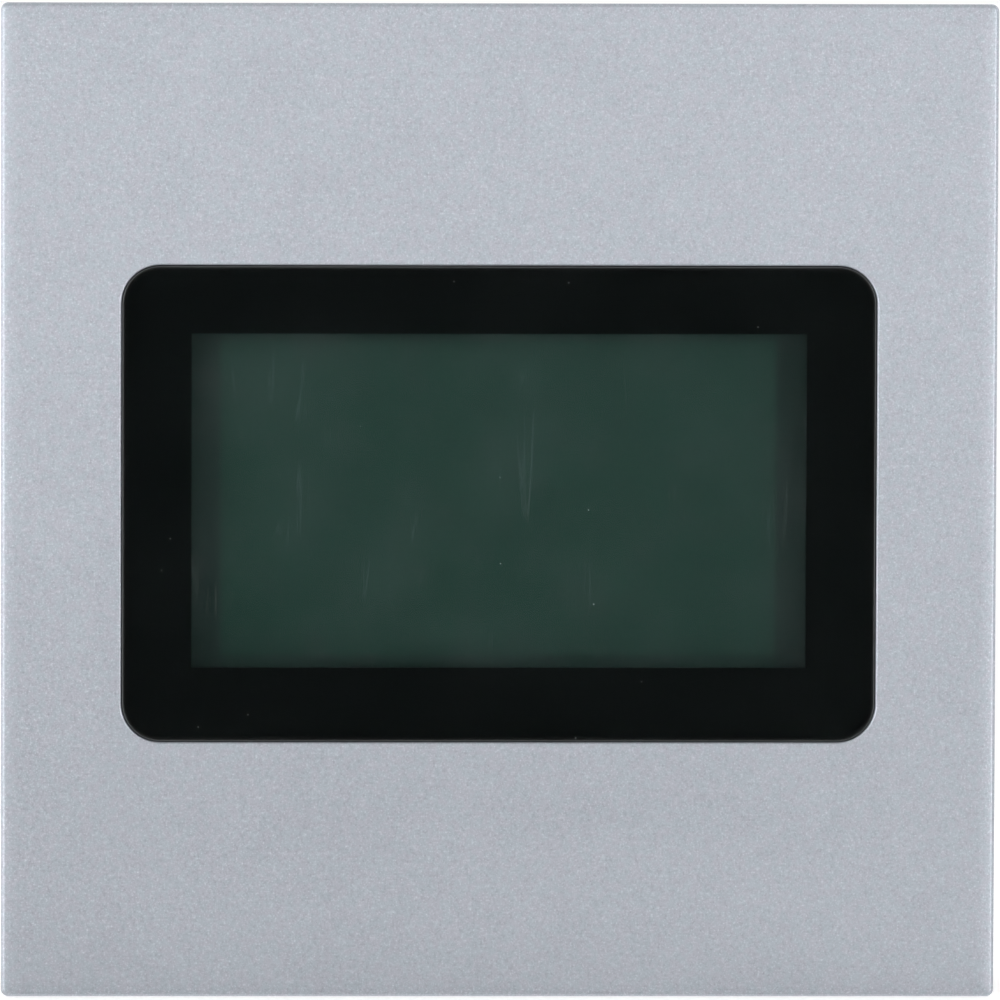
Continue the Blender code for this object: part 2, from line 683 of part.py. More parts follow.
def make_main_board(parent):
    """The main circuit board with what faces the display: controller, power parts, connector."""
    at = (0, y_at(MAIN_FRONT), 0)
    board = slab("main_board", MAIN_W, MAIN_H, BOARD_T, "blue_board", at, parent, BOARD_CORNER)
    drill_board(board, PILLAR_X, PILLAR_Z, MAIN_FRONT)
    front = MAIN_FRONT - LAYER_GAP
    header_back = BOARD_BACK + LAYER_GAP + HEADER_H
    socket_front = header_back + FIT_GAP
    socket = slab(
        "display_socket",
        HEADER_L,
        HEADER_W,
        front - socket_front,
        "black_epoxy",
        (0, y_at(socket_front), HEADER_Z),
        parent,
    )
    slot_middle = (0, y_at(socket_front + (PIN_REACH - OVERLAP) / 2), HEADER_Z)
    slot = (HEADER_L - PIN_PITCH / 2, PIN_REACH + OVERLAP, PIN_W + 2 * FIT_GAP)
    combine(socket, "DIFFERENCE", blocks("socket_slot", [slot_middle], slot))
    make_controller(front, parent)
    can = CAPACITOR_R
    turned(
        "reservoir_capacitor",
        [
            (-CAPACITOR_H, 0),
            (-CAPACITOR_H, 0.9 * can),
            (-CAPACITOR_H + 0.1 * can, can),
            (-0.6 * can, can),
            (-0.5 * can, 0.92 * can),
            (-0.4 * can, can),
            (0, can),
            (0, 0),
        ],
        "zinc_steel",
        (BLOB_PITCH / 2, y_at(front), -HOLE_Z / 2),
        parent,
    )
    rise = INDUCTOR_H
    chamfer = INDUCTOR_SIDE / 10
    loft(
        "power_inductor",
        [
            (-rise, INDUCTOR_SIDE - 2 * chamfer, INDUCTOR_SIDE - 2 * chamfer, chamfer),
            (-rise + chamfer, INDUCTOR_SIDE, INDUCTOR_SIDE, 2 * chamfer),
            (0, INDUCTOR_SIDE, INDUCTOR_SIDE, 2 * chamfer),
        ],
        "black_epoxy",
        (-BLOB_PITCH / 2, y_at(front), -HOLE_Z / 2),
        parent,
    )
    slab(
        "crystal",
        CRYSTAL_W,
        CRYSTAL_T,
        CRYSTAL_H,
        "zinc_steel",
        (0, y_at(front - CRYSTAL_H), CHIP_SIDE + CRYSTAL_T),
        parent,
        0.45 * CRYSTAL_T,
    )
    seats = corner_places(PILLAR_X, PILLAR_Z, y_at(front))
    length = LAYER_GAP + BOARD_T + LAYER_GAP + BOARD_SCREW_BITE
    for i, seat in enumerate(seats):
        screw(f"board_screw_{i + 1}", SMALL_SCREW, length, seat, -1, parent)


def make_controller(front, parent):
    """The controller: a flat package with a row of legs on each side."""
    chip = slab(
        "controller_chip", CHIP_SIDE, CHIP_SIDE, CHIP_T, "black_epoxy", (0, y_at(front - CHIP_T), 0), parent
    )
    pitch = CHIP_SIDE / (CHIP_LEGS + 1)
    leg_y = y_at(front - CHIP_T / 2)
    reach = CHIP_SIDE / 2 + LEG_L / 2 - OVERLAP / 2
    offsets = [(i - (CHIP_LEGS - 1) / 2) * pitch for i in range(CHIP_LEGS)]
    rows = [(side * reach, leg_y, offset) for side in (-1, 1) for offset in offsets]
    columns = [(offset, leg_y, side * reach) for side in (-1, 1) for offset in offsets]
    long = LEG_L + OVERLAP
    combine(
        chip,
        "UNION",
        blocks("chip_legs_across", rows, (long, LEG_T, LEG_W)),
        blocks("chip_legs_upright", columns, (LEG_W, LEG_T, long)),
    )


def make_link_sockets(parent):
    """The two sockets that join this module to its neighbours."""
    base = MAIN_BACK + LAYER_GAP
    depth = TOTAL_DEPTH - SOCKET_SINK - base
    for name, side in (("link_socket_in", 1), ("link_socket_out", -1)):
        z = side * SOCKET_Z
        socket = slab(name, SOCKET_W, SOCKET_H, depth, "white_nylon", (0, y_at(base), z), parent)
        cavity = slab(
            f"{name}_cavity",
            SOCKET_W - 2 * SOCKET_WALL,
            SOCKET_H - 2 * SOCKET_WALL,
            depth,
            at=(0, y_at(base + SOCKET_BASE), z),
        )
        key = (KEY_W, depth, 2 * (SOCKET_WALL + OVERLAP))
        key_middle = (0, y_at(base + SOCKET_BASE + KEY_W) + depth / 2, z + side * SOCKET_H / 2)
        combine(socket, "DIFFERENCE", cavity, blocks(f"{name}_key", [key_middle], key))


def make_address_switch(parent):
    """A bank of small slide switches, each slider a piece of its own that moves along X."""
    base = MAIN_BACK + LAYER_GAP
    at = (-SWITCH_X, y_at(base), 0)
    body = slab("address_switch_body", SWITCH_W, SWITCH_H, SWITCH_T, "red_switch", at, parent)
    slot_w = SLIDER_W + SLIDER_TRAVEL + 2 * FIT_GAP
    slot_h = SLIDER_H + 2 * FIT_GAP
    top = y_at(base + SWITCH_T)
    for i in range(SLIDER_COUNT):
        z = ((SLIDER_COUNT - 1) / 2 - i) * SLIDER_PITCH
        slot_middle = (-SWITCH_X, top - (SLOT_DEPTH - OVERLAP) / 2, z)
        slot = blocks(f"slider_slot_{i}", [slot_middle], (slot_w, SLOT_DEPTH + OVERLAP, slot_h))
        combine(body, "DIFFERENCE", slot)
        foot = -SLOT_DEPTH + FIT_GAP
        loft(
            f"address_slider_{i + 1}",
            [
                (foot, SLIDER_W, SLIDER_H, 0),
                (-FIT_GAP, SLIDER_W, SLIDER_H, 0),
                (-FIT_GAP, NUB_W, NUB_W, 0),
                (NUB_H, NUB_W, NUB_W, 0),
            ],
            "white_nylon",
            (-SWITCH_X - SLIDER_TRAVEL / 2, top, z),
            parent,
        )


def make_trimmer(parent):
    """The contrast trimmer: a block with a slotted rotor that turns about Y."""
    base = MAIN_BACK + LAYER_GAP
    top = y_at(base + TRIMMER_T)
    at = (-SWITCH_X, y_at(base), TRIMMER_Z)
    body = slab("contrast_trimmer_body", TRIMMER_SIDE, TRIMMER_SIDE, TRIMMER_T, "blue_trimmer", at, parent)
    well_depth = ROTOR_T + FIT_GAP
    well = rod(
        "rotor_well",
        ROTOR_R + FIT_GAP,
        well_depth + OVERLAP,
        at=(-SWITCH_X, top - well_depth, TRIMMER_Z),
        steps=FINE_STEPS,
    )
    combine(body, "DIFFERENCE", well)
    rotor = rod(
        "contrast_trimmer_rotor",
        ROTOR_R,
        ROTOR_T,
        "white_nylon",
        (-SWITCH_X, top - ROTOR_T, TRIMMER_Z),
        parent,
        FINE_STEPS,
    )
    slot_depth = ROTOR_T / 2
    slot_middle = (-SWITCH_X, top - (slot_depth - OVERLAP) / 2, TRIMMER_Z)
    size = (3 * ROTOR_R, slot_depth + OVERLAP, ROTOR_SLOT)
    combine(rotor, "DIFFERENCE", blocks("rotor_slot", [slot_middle], size))


def make_reset_switch(parent):
    """The reset switch: a square body with a round plunger that is pushed along -Y."""
    base = MAIN_BACK + LAYER_GAP
    top = y_at(base + RESET_T)
    at = (SWITCH_X, y_at(base), RESET_Z)
    body = slab("reset_switch_body", RESET_SIDE, RESET_SIDE, RESET_T, "black_epoxy", at, parent)
    well_depth = RESET_BURIED + RESET_TRAVEL + LAYER_GAP
    floor = (SWITCH_X, top - well_depth, RESET_Z)
    combine(body, "DIFFERENCE", rod("reset_well", RESET_R + FIT_GAP, well_depth + OVERLAP, at=floor))
    rod(
        "reset_plunger",
        RESET_R,
        RESET_BURIED + RESET_PROUD,
        "black_abs",
        (SWITCH_X, top - RESET_BURIED, RESET_Z),
        parent,
    )


def make_tamper_switch(parent):
    """The tamper switch: a base with a spring post, a coil spring and a flanged plunger."""
    flange_back = y_at(FLOOR_FRONT) - FIT_GAP
    flange_front = flange_back - FLANGE_T
    base = y_at(MAIN_BACK + LAYER_GAP)
    base_t = flange_front - TAMPER_TRAVEL - FIT_GAP - base
    loft(
        "tamper_switch_body",
        [
            (0, TAMPER_SIDE, TAMPER_SIDE, 0),
            (base_t, TAMPER_SIDE, TAMPER_SIDE, 0),
            (base_t, SPRING_POST_W, SPRING_POST_W, 0),
            (base_t + SPRING_POST_H, SPRING_POST_W, SPRING_POST_W, 0),
        ],
        "black_epoxy",
        (TAMPER_X, base, 0),
        parent,
    )
    bore_r = SPRING_R + SPRING_WIRE_R + FIT_GAP
    tip = PLUNGER_PROUD - flange_front
    round_off = PLUNGER_R / 3
    turned(
        "tamper_plunger",
        [
            (tip - PLUNGER_END_T - PLUNGER_PROUD, 0),
            (tip - PLUNGER_END_T - PLUNGER_PROUD, bore_r),
            (0, bore_r),
            (0, FLANGE_R),
            (FLANGE_T, FLANGE_R),
            (FLANGE_T, PLUNGER_R),
            (tip - round_off, PLUNGER_R),
            (tip - 0.3 * round_off, PLUNGER_R - 0.3 * round_off),
            (tip, PLUNGER_R - round_off),
            (tip, 0),
        ],
        "black_abs",
        (TAMPER_X, flange_front, 0),
        parent,
        FINE_STEPS,
    )
    spring_front = base + base_t + FIT_GAP
    spring_back = -PLUNGER_END_T - FIT_GAP
    make_spring("tamper_spring", spring_front, spring_back, parent)


def make_spring(name, front, back, parent):
    """A coil spring along Y, its wire swept along a helix."""
    pitch_steps = 10
    curve = bpy.data.curves.new(name, "CURVE")
    curve.dimensions = "3D"
    curve.bevel_depth = SPRING_WIRE_R
    curve.bevel_resolution = 1
    curve.use_fill_caps = True
    count = SPRING_TURNS * pitch_steps + 1
    length = back - front - 2 * SPRING_WIRE_R
    line = curve.splines.new("POLY")
    line.points.add(count - 1)
    for i, point in enumerate(line.points):
        angle = math.tau * i / pitch_steps
        y = SPRING_WIRE_R + length * i / (count - 1)
        point.co = (SPRING_R * math.cos(angle), y, SPRING_R * math.sin(angle), 1)
    obj = bpy.data.objects.new(name, curve)
    obj.data.materials.append(material("zinc_steel"))
    bpy.context.scene.collection.objects.link(obj)
    obj.location = (TAMPER_X, front, 0)
    obj.parent = parent
    return obj


def make_seal(parent):
    """The silicone ring squeezed between the faceplate and the housing's rim."""
    outer = HOUSING_SIDE - 2 * FIT_GAP
    inner = outer - 2 * SEAL_W
    frame_ring(
        "housing_seal",
        (outer, outer, HOUSING_CORNER - FIT_GAP),
        (inner, inner, HOUSING_CORNER - FIT_GAP - SEAL_W),
        SEAL_T,
        "grey_silicone",
        (0, y_at(SEAL_FRONT), 0),
        parent,
    )


def make_housing(parent):
    """The moulded rear shell: walls, floor, posts, and every opening in its back."""
    side, chamfer = HOUSING_SIDE, HOUSING_CHAMFER
    length = TOTAL_DEPTH - HOUSING_FRONT
    shell = loft(
        "rear_housing",
        [
            (0, side, side, HOUSING_CORNER),
            (length - chamfer, side, side, HOUSING_CORNER),
            (length, side - 2 * chamfer, side - 2 * chamfer, HOUSING_CORNER - chamfer),
        ],
        "black_abs",
        (0, y_at(HOUSING_FRONT), 0),
        parent,
    )
    inner = side - 2 * HOUSING_WALL
    cavity = slab(
        "housing_cavity",
        inner,
        inner,
        FLOOR_FRONT - HOUSING_FRONT + OVERLAP,
        at=(0, y_at(HOUSING_FRONT) - OVERLAP, 0),
        radius=HOUSING_CORNER - HOUSING_WALL,
    )
    combine(shell, "DIFFERENCE", cavity)
    post_front = y_at(PLATE_BOSS_END + FIT_GAP)
    insert_front = -INSERT_L - 2 * FIT_GAP - INSERT_CAP
    pillar_front = y_at(MAIN_BACK + LAYER_GAP)
    into_floor = -HOUSING_FLOOR + OVERLAP
    for kind, x, z, radius, front in (
        ("post", POST_X, POST_X, POST_R, post_front),
        ("insert_boss", POST_X, INSERT_Z, INSERT_BOSS_R, insert_front),
        ("pillar", PILLAR_X, PILLAR_Z, PILLAR_R, pillar_front),
    ):
        for i, place in enumerate(corner_places(x, z, front)):
            combine(shell, "UNION", rod(f"{kind}_{i}", radius, into_floor - front, at=place))
    bore = HOUSING_SCREW[0] + FIT_GAP
    for i, (x, y, z) in enumerate(corner_places(POST_X, POST_X, post_front - OVERLAP)):
        counterbored = [
            (0, 0),
            (0, bore),
            (-COUNTERBORE_DEPTH - y, bore),
            (-COUNTERBORE_DEPTH - y, COUNTERBORE_R),
            (OVERLAP - y, COUNTERBORE_R),
            (OVERLAP - y, 0),
        ]
        combine(shell, "DIFFERENCE", turned(f"post_hole_{i}", counterbored, at=(x, y, z)))
    insert_depth = INSERT_L + 2 * FIT_GAP
    for i, place in enumerate(corner_places(POST_X, INSERT_Z, -insert_depth)):
        hole = rod(f"insert_hole_{i}", INSERT_R + LAYER_GAP, insert_depth + OVERLAP, at=place)
        combine(shell, "DIFFERENCE", hole)
    pilot_r, pilot = SMALL_SCREW[0] + LAYER_GAP, BOARD_SCREW_BITE + 2 * FIT_GAP
    for i, place in enumerate(corner_places(PILLAR_X, PILLAR_Z, pillar_front - OVERLAP)):
        hole = rod(f"pillar_hole_{i}", pilot_r, pilot + OVERLAP, at=place, steps=HOLE_STEPS)
        combine(shell, "DIFFERENCE", hole)
    cut_back_openings(shell)
    return shell


def cut_back_openings(shell):
    """Cuts the windows for sockets and switches, the tool holes, the vent and the channels."""
    through = HOUSING_FLOOR + 2 * OVERLAP
    front = -HOUSING_FLOOR - OVERLAP
    for i, side in enumerate((1, -1)):
        window = slab(
            f"socket_window_{i}",
            SOCKET_W + 2 * FIT_GAP,
            SOCKET_H + 2 * FIT_GAP,
            through,
            at=(0, front, side * SOCKET_Z),
        )
        start = SOCKET_Z + SOCKET_H / 2 - OVERLAP
        reach = HOUSING_SIDE / 2 + OVERLAP - start
        channel = slab(
            f"cable_channel_{i}",
            CHANNEL_W,
            reach,
            CHANNEL_DEPTH + OVERLAP,
            at=(0, -CHANNEL_DEPTH, side * (start + reach / 2)),
        )
        combine(shell, "DIFFERENCE", window, channel)
    flare = WINDOW_ROOM + HOUSING_FLOOR / 2
    narrow_w, narrow_h = SWITCH_W + 2 * WINDOW_ROOM, SWITCH_H + 2 * WINDOW_ROOM
    address = loft(
        "address_window",
        [
            (0, narrow_w, narrow_h, WINDOW_ROOM),
            (OVERLAP + HOUSING_FLOOR / 2, narrow_w, narrow_h, WINDOW_ROOM),
            (through, narrow_w + 2 * flare, narrow_h + 2 * flare, WINDOW_ROOM + flare),
        ],
        at=(-SWITCH_X, front, 0),
    )
    holes = [
        rod("trimmer_hole", TOOL_HOLE_R, through, at=(-SWITCH_X, front, TRIMMER_Z), steps=FINE_STEPS),
        rod("reset_hole", PIN_HOLE_R, through, at=(SWITCH_X, front, RESET_Z), steps=FINE_STEPS),
        rod("tamper_hole", PLUNGER_R + FIT_GAP, through, at=(TAMPER_X, front, 0), steps=FINE_STEPS),
        rod(
            "vent_recess",
            VENT_R + FIT_GAP,
            VENT_RECESS + OVERLAP,
            at=(VENT_X, -VENT_RECESS, VENT_Z),
            steps=FINE_STEPS,
        ),
    ]
    for i in range(3):
        angle = math.tau * i / 3
        x = VENT_X + VENT_HOLE_RING * math.cos(angle)
        z = VENT_Z + VENT_HOLE_RING * math.sin(angle)
        holes.append(rod(f"vent_hole_{i}", VENT_HOLE_R, through, at=(x, front, z), steps=HOLE_STEPS))
    combine(shell, "DIFFERENCE", address, *holes)


def make_housing_fittings(parent):
    """The vent film, the brass mounting inserts and the screws that close the housing."""
    vent_at = (VENT_X, -VENT_T - LAYER_GAP / 2, VENT_Z)
    rod("vent_membrane", VENT_R, VENT_T, "vent_film", vent_at, parent, FINE_STEPS)
    groove = INSERT_R - INSERT_GROOVE
    knurl = [
        (0, INSERT_BORE_R),
        (0, INSERT_R),
        (0.4 * INSERT_L, INSERT_R),
        (0.46 * INSERT_L, groove),
        (0.54 * INSERT_L, groove),
        (0.6 * INSERT_L, INSERT_R),
        (INSERT_L, INSERT_R),
        (INSERT_L, INSERT_BORE_R),
    ]
    for i, place in enumerate(corner_places(POST_X, INSERT_Z, -INSERT_L - LAYER_GAP)):
        turned(f"mounting_insert_{i + 1}", knurl, "brass", place, parent, hollow=True)
    seat_y = -COUNTERBORE_DEPTH + LAYER_GAP
    length = seat_y - y_at(PLATE_BOSS_END) + HOUSING_SCREW_BITE
    for i, seat in enumerate(corner_places(POST_X, POST_X, seat_y)):
        screw(f"housing_screw_{i + 1}", HOUSING_SCREW, length, seat, 1, parent)


def main():
    """Builds the module, sub-assembly by sub-assembly, from the front to the back."""
    clear_scene()
    front = assembly("front_assembly")
    make_faceplate(front)
    make_lens_group(front)
    make_display_module(assembly("display_module"))
    electronics = assembly("main_electronics")
    make_main_board(electronics)
    make_link_sockets(electronics)
    make_address_switch(electronics)
    make_trimmer(electronics)
    make_reset_switch(electronics)
    make_tamper_switch(electronics)
    back = assembly("rear_assembly")
    make_seal(back)
    make_housing(back)
    make_housing_fittings(back)


main()
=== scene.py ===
"""Looks of the time clock display module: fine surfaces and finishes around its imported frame.

Every length is in metres, in the frame of the part: the front looks along -Y, +Z is up, and the
origin is the centre of the housing's flat back face.
"""

from __future__ import annotations

import logging
import math
from dataclasses import dataclass, field
from enum import Enum
from typing import Any, Sequence

import bmesh
import bpy
import numpy as np
from mathutils import Matrix, Vector

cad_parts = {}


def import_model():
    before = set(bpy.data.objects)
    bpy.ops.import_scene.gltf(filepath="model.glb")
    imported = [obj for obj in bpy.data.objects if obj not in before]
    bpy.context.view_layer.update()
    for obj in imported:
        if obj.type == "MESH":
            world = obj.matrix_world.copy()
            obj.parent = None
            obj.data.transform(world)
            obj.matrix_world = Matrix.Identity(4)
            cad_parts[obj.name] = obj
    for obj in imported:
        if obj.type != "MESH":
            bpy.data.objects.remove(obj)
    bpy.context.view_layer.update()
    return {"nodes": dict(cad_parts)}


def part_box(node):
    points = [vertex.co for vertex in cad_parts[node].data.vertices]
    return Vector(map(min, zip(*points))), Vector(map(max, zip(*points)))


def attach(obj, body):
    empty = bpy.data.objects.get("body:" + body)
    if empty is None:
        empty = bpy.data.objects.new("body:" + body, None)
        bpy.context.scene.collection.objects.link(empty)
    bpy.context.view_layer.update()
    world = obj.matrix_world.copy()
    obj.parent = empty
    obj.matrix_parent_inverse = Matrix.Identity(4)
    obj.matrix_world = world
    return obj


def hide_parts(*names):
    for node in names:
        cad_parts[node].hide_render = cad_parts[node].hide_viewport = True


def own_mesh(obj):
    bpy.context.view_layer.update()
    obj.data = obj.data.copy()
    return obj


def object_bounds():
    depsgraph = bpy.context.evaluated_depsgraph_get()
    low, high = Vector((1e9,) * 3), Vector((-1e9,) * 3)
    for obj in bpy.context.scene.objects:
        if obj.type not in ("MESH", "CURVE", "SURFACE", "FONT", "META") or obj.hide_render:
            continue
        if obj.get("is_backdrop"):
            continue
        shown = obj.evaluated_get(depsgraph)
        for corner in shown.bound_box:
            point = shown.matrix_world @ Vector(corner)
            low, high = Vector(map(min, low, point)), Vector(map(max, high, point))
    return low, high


LOG = logging.getLogger("display_module")
MM = 0.001
MODULE = "module"
SHARP_ANGLE = math.radians(35)
BEVEL_ANGLE = math.radians(40)
FLAT_ANGLE = math.radians(0.5)
WELD = 0.002 * MM
HAIR = 0.01 * MM
QUADRANTS = ((1, 1), (-1, 1), (-1, -1), (1, -1))
FOUR = range(1, 5)

Colour = tuple[float, float, float]
Profile = Sequence[tuple[float, float]]


# Surfaces


@dataclass
class Shell:
    """Points, faces and the finish index of each face, of one or more closed surfaces."""

    points: np.ndarray
    faces: list[tuple[int, ...]]
    finishes: list[int] = field(default_factory=list)

    def __post_init__(self) -> None:
        """Gives every face the first finish where none is stated."""
        if not self.finishes:
            self.finishes = [0] * len(self.faces)

    def __add__(self, other: "Shell") -> "Shell":
        """Both shells as one.

        Args:
            other: the shell that is added.

        Returns:
            The closed shell.
        """
        start = len(self.points)
        shifted = [tuple(i + start for i in face) for face in other.faces]
        points = np.vstack([self.points, other.points])
        return Shell(points, self.faces + shifted, self.finishes + other.finishes)

    def moved(self, x: float = 0.0, y: float = 0.0, z: float = 0.0) -> "Shell":
        """The shell carried to another place."""
        return Shell(self.points + np.array([x, y, z]), self.faces, list(self.finishes))

    def finished(self, index: int) -> "Shell":
        """The shell with all its faces in another finish."""
        return Shell(self.points, self.faces, [index] * len(self.faces))


def joined(shells: Sequence[Shell]) -> Shell:
    """Many shells as one.

    Args:
        shells: at least one shell.

    Returns:
        One shell that holds them all.
    """
    total = shells[0]
    for shell in shells[1:]:
        total = total + shell
    return total


def rounded(width: float, height: float, radius: float, steps: int = 8) -> np.ndarray:
    """Rectangle with arc corners: (w/2 - r + r cos a, h/2 - r + r sin a) in each quadrant.

    Args:
        width: size along X.
        height: size along Z.
        radius: corner radius, kept above a hair so that every ring has as many points.
        steps: segments in each corner.

    Returns:
        An (m, 2) array of X and Z, anticlockwise as seen from +Y's far side.
    """
    r = max(radius, HAIR)
    turns = np.arange(4)[:, None] * math.pi / 2
    angles = turns + np.linspace(0, math.pi / 2, steps + 1)[None, :]
    signs = np.array(QUADRANTS, float)
    x = signs[:, :1] * (width / 2 - r) + r * np.cos(angles)
    z = signs[:, 1:] * (height / 2 - r) + r * np.sin(angles)
    return np.stack([x.ravel(), z.ravel()], axis=1)


def circle(radius: float, steps: int = 48) -> np.ndarray:
    """Points (r cos a, r sin a) of a full turn."""
    angles = np.arange(steps) * math.tau / steps
    return radius * np.stack([np.cos(angles), np.sin(angles)], axis=1)


def inset(outline: np.ndarray, distance: float) -> np.ndarray:
    """Closed outline moved inwards: each point goes d (n1 + n2) / (1 + n1.n2), a mitred corner.

    Args:
        outline: (m, 2) points, anticlockwise.
        distance: how far inwards; a negative one moves outwards.

    Returns:
        The moved outline, with as many points.
    """
    edge = np.roll(outline, -1, axis=0) - outline
    edge = edge / np.linalg.norm(edge, axis=1, keepdims=True)
    normal = np.stack([-edge[:, 1], edge[:, 0]], axis=1)
    before = np.roll(normal, 1, axis=0)
    share = 1 + np.sum(before * normal, axis=1, keepdims=True)
    return outline + distance * (before + normal) / share


def stacked(rings: Sequence[np.ndarray], depths: Sequence[float]) -> np.ndarray:
    """Grid whose row k is ring k at y = depths[k].

    Args:
        rings: outlines with equal numbers of points.
        depths: the Y of each.

    Returns:
        A (k, m, 3) grid.
    """
    rows = [np.stack([r[:, 0], np.full(len(r), y), r[:, 1]], axis=1) for r, y in zip(rings, depths)]
    return np.stack(rows)


def carried(outline: np.ndarray, profile: Profile) -> np.ndarray:
    """Profile carried round an outline: row k is the outline inset by profile[k][1], at its Y.

    Args:
        outline: the path, an (m, 2) outline.
        profile: (y, inset) pairs.

    Returns:
        A (k, m, 3) grid.
    """
    return stacked([inset(outline, d) for _, d in profile], [y for y, _ in profile])


def framed(width: float, height: float, corner: float, steps: int, profile: Profile) -> np.ndarray:
    """Profile carried round a rounded rectangle whose corner radius r - d shrinks with the inset d.

    Args:
        width: size along X at no inset.
        height: size along Z at no inset.
        corner: corner radius at no inset.
        steps: segments in each corner.
        profile: (y, inset) pairs.

    Returns:
        A (k, m, 3) grid.
    """
    rings = [rounded(width - 2 * d, height - 2 * d, corner - d, steps) for _, d in profile]
    return stacked(rings, [y for y, _ in profile])

def skin(grid: np.ndarray, ring: bool = False) -> Shell:
    """Quads over a grid whose rows are closed rings.

    Args:
        grid: (k, m, 3) points.
        ring: the last row joins the first; otherwise both end rows are capped.

    Returns:
        The closed shell.
    """
    rows, columns = grid.shape[:2]
    row = np.arange(rows if ring else rows - 1)[:, None]
    column = np.arange(columns)[None, :]
    after, beside = (row + 1) % rows, (column + 1) % columns
    corners = ((row, column), (row, beside), (after, beside), (after, column))
    quads = np.stack([k * columns + m for k, m in corners], axis=-1)
    faces = [tuple(quad) for quad in quads.reshape(-1, 4).tolist()]
    if not ring:
        last = (rows - 1) * columns
        faces.append(tuple(range(columns))[::-1])
        faces.append(tuple(range(last, last + columns)))
    return Shell(grid.reshape(-1, 3), faces)


def edge_round(y: float, towards: int, radius: float, steps: int = 4) -> list[tuple[float, float]]:
    """Quarter round at an end of a wall: y + t r (1 - sin a), inset r (1 - cos a).

    Args:
        y: the end face's Y.
        towards: +1 if the wall runs towards +Y from that face, -1 if towards -Y.
        radius: size of the round.
        steps: segments.

    Returns:
        (y, inset) pairs from the end face to the wall.
    """
    angles = np.linspace(math.pi / 2, 0, steps + 1)
    return [(y + towards * radius * (1 - math.sin(a)), radius * (1 - math.cos(a))) for a in angles]


def block(
    width: float,
    height: float,
    front: float,
    back: float,
    corner: float = 0.2 * MM,
    edge: float = 0.1 * MM,
    steps: int = 3,
    centre: tuple[float, float] = (0.0, 0.0),
) -> Shell:
    """Block with round upright corners and round front and back edges.

    Args:
        width: size along X.
        height: size along Z.
        front: lowest Y.
        back: highest Y.
        corner: radius of the corners seen along Y.
        edge: radius of the front and back edges.
        steps: segments of each corner and edge.
        centre: X and Z of its middle.

    Returns:
        The closed shell.
    """
    profile = edge_round(front, 1, edge, steps) + edge_round(back, -1, edge, steps)[::-1]
    grid = carried(rounded(width, height, max(corner, 1.05 * edge), steps), profile)
    return skin(grid).moved(x=centre[0], z=centre[1])


def lathe(
    profile: Profile,
    steps: int = 48,
    centre: tuple[float, float] = (0.0, 0.0),
    ring: bool = False,
) -> Shell:
    """Surface of revolution about a line along Y: (r cos a, y, r sin a).

    Args:
        profile: (y, r) pairs.
        steps: segments of the turn.
        centre: X and Z of the axis.
        ring: the profile closes on itself, clear of the axis.

    Returns:
        The closed shell.
    """
    rings = [circle(max(r, HAIR), steps) for _, r in profile]
    grid = stacked(rings, [y for y, _ in profile])
    return skin(grid, ring).moved(x=centre[0], z=centre[1])


def swept_coil(radius: float, wire: float, turns: float, front: float, back: float) -> Shell:
    """Round wire along a helix: centre (R cos t, y0 + (y1 - y0) s, R sin t), with closed end turns.

    Args:
        radius: helix radius.
        wire: wire radius.
        turns: number of turns.
        front: lowest Y of the coil.
        back: highest Y of the coil.

    Returns:
        The closed shell of the wire.
    """
    share = np.linspace(0, 1, int(turns * 36))
    angle = math.tau * turns * share
    flat = 1 / turns  # share of the length in each end turn, wound close
    close = 0.12  # share of the height that the close turns take
    rise = np.clip((share - flat / 2) / (1 - flat), 0, 1)
    y = front + wire + (back - front - 2 * wire) * (close * share + (1 - close) * rise)
    middle = np.stack([radius * np.cos(angle), y, radius * np.sin(angle)], axis=1)
    ahead = np.gradient(middle, axis=0)
    ahead /= np.linalg.norm(ahead, axis=1, keepdims=True)
    outwards = np.stack([np.cos(angle), np.zeros_like(angle), np.sin(angle)], axis=1)
    side = np.cross(ahead, outwards)
    side /= np.linalg.norm(side, axis=1, keepdims=True)
    outwards = np.cross(side, ahead)
    turn = (np.arange(12) * math.tau / 12)[None, :, None]
    around = np.cos(turn) * outwards[:, None] + np.sin(turn) * side[:, None]
    return skin(middle[:, None, :] + wire * around)


def screw_head(radius: float, height: float, recess: float) -> np.ndarray:
    """Top of a pan head with a cross recess, as a polar grid of heights above the seat.

    The dome is h (1 - 0.28 (r/R)^2), and the recess takes away a depth that falls from the middle
    to nothing over the edges of a cross, |x| < w or |z| < w, inside 0.62 R.

    Args:
        radius: head radius.
        height: head height.
        recess: depth of the cross.

    Returns:
        A (k, m, 3) grid from the rim inwards, with the heights as Y.
    """
    rho = np.linspace(1, 0.01, 34)[:, None] * radius
    angle = np.arange(96)[None, :] * math.tau / 96
    x, z = rho * np.cos(angle), rho * np.sin(angle)
    dome = height * (1 - 0.28 * (rho / radius) ** 2) * np.ones_like(angle)
    half = 0.11 * radius * (1.3 - 0.5 * rho / radius)
    across = np.minimum(np.abs(x), np.abs(z))
    wall = np.clip((half - across) / (0.05 * radius) + 0.5, 0, 1)
    reach = np.clip((0.62 * radius - rho) / (0.08 * radius), 0, 1)
    depth = recess * wall * reach * (1 - 0.45 * rho / radius)
    return np.stack([x, dome - depth, z], axis=-1)


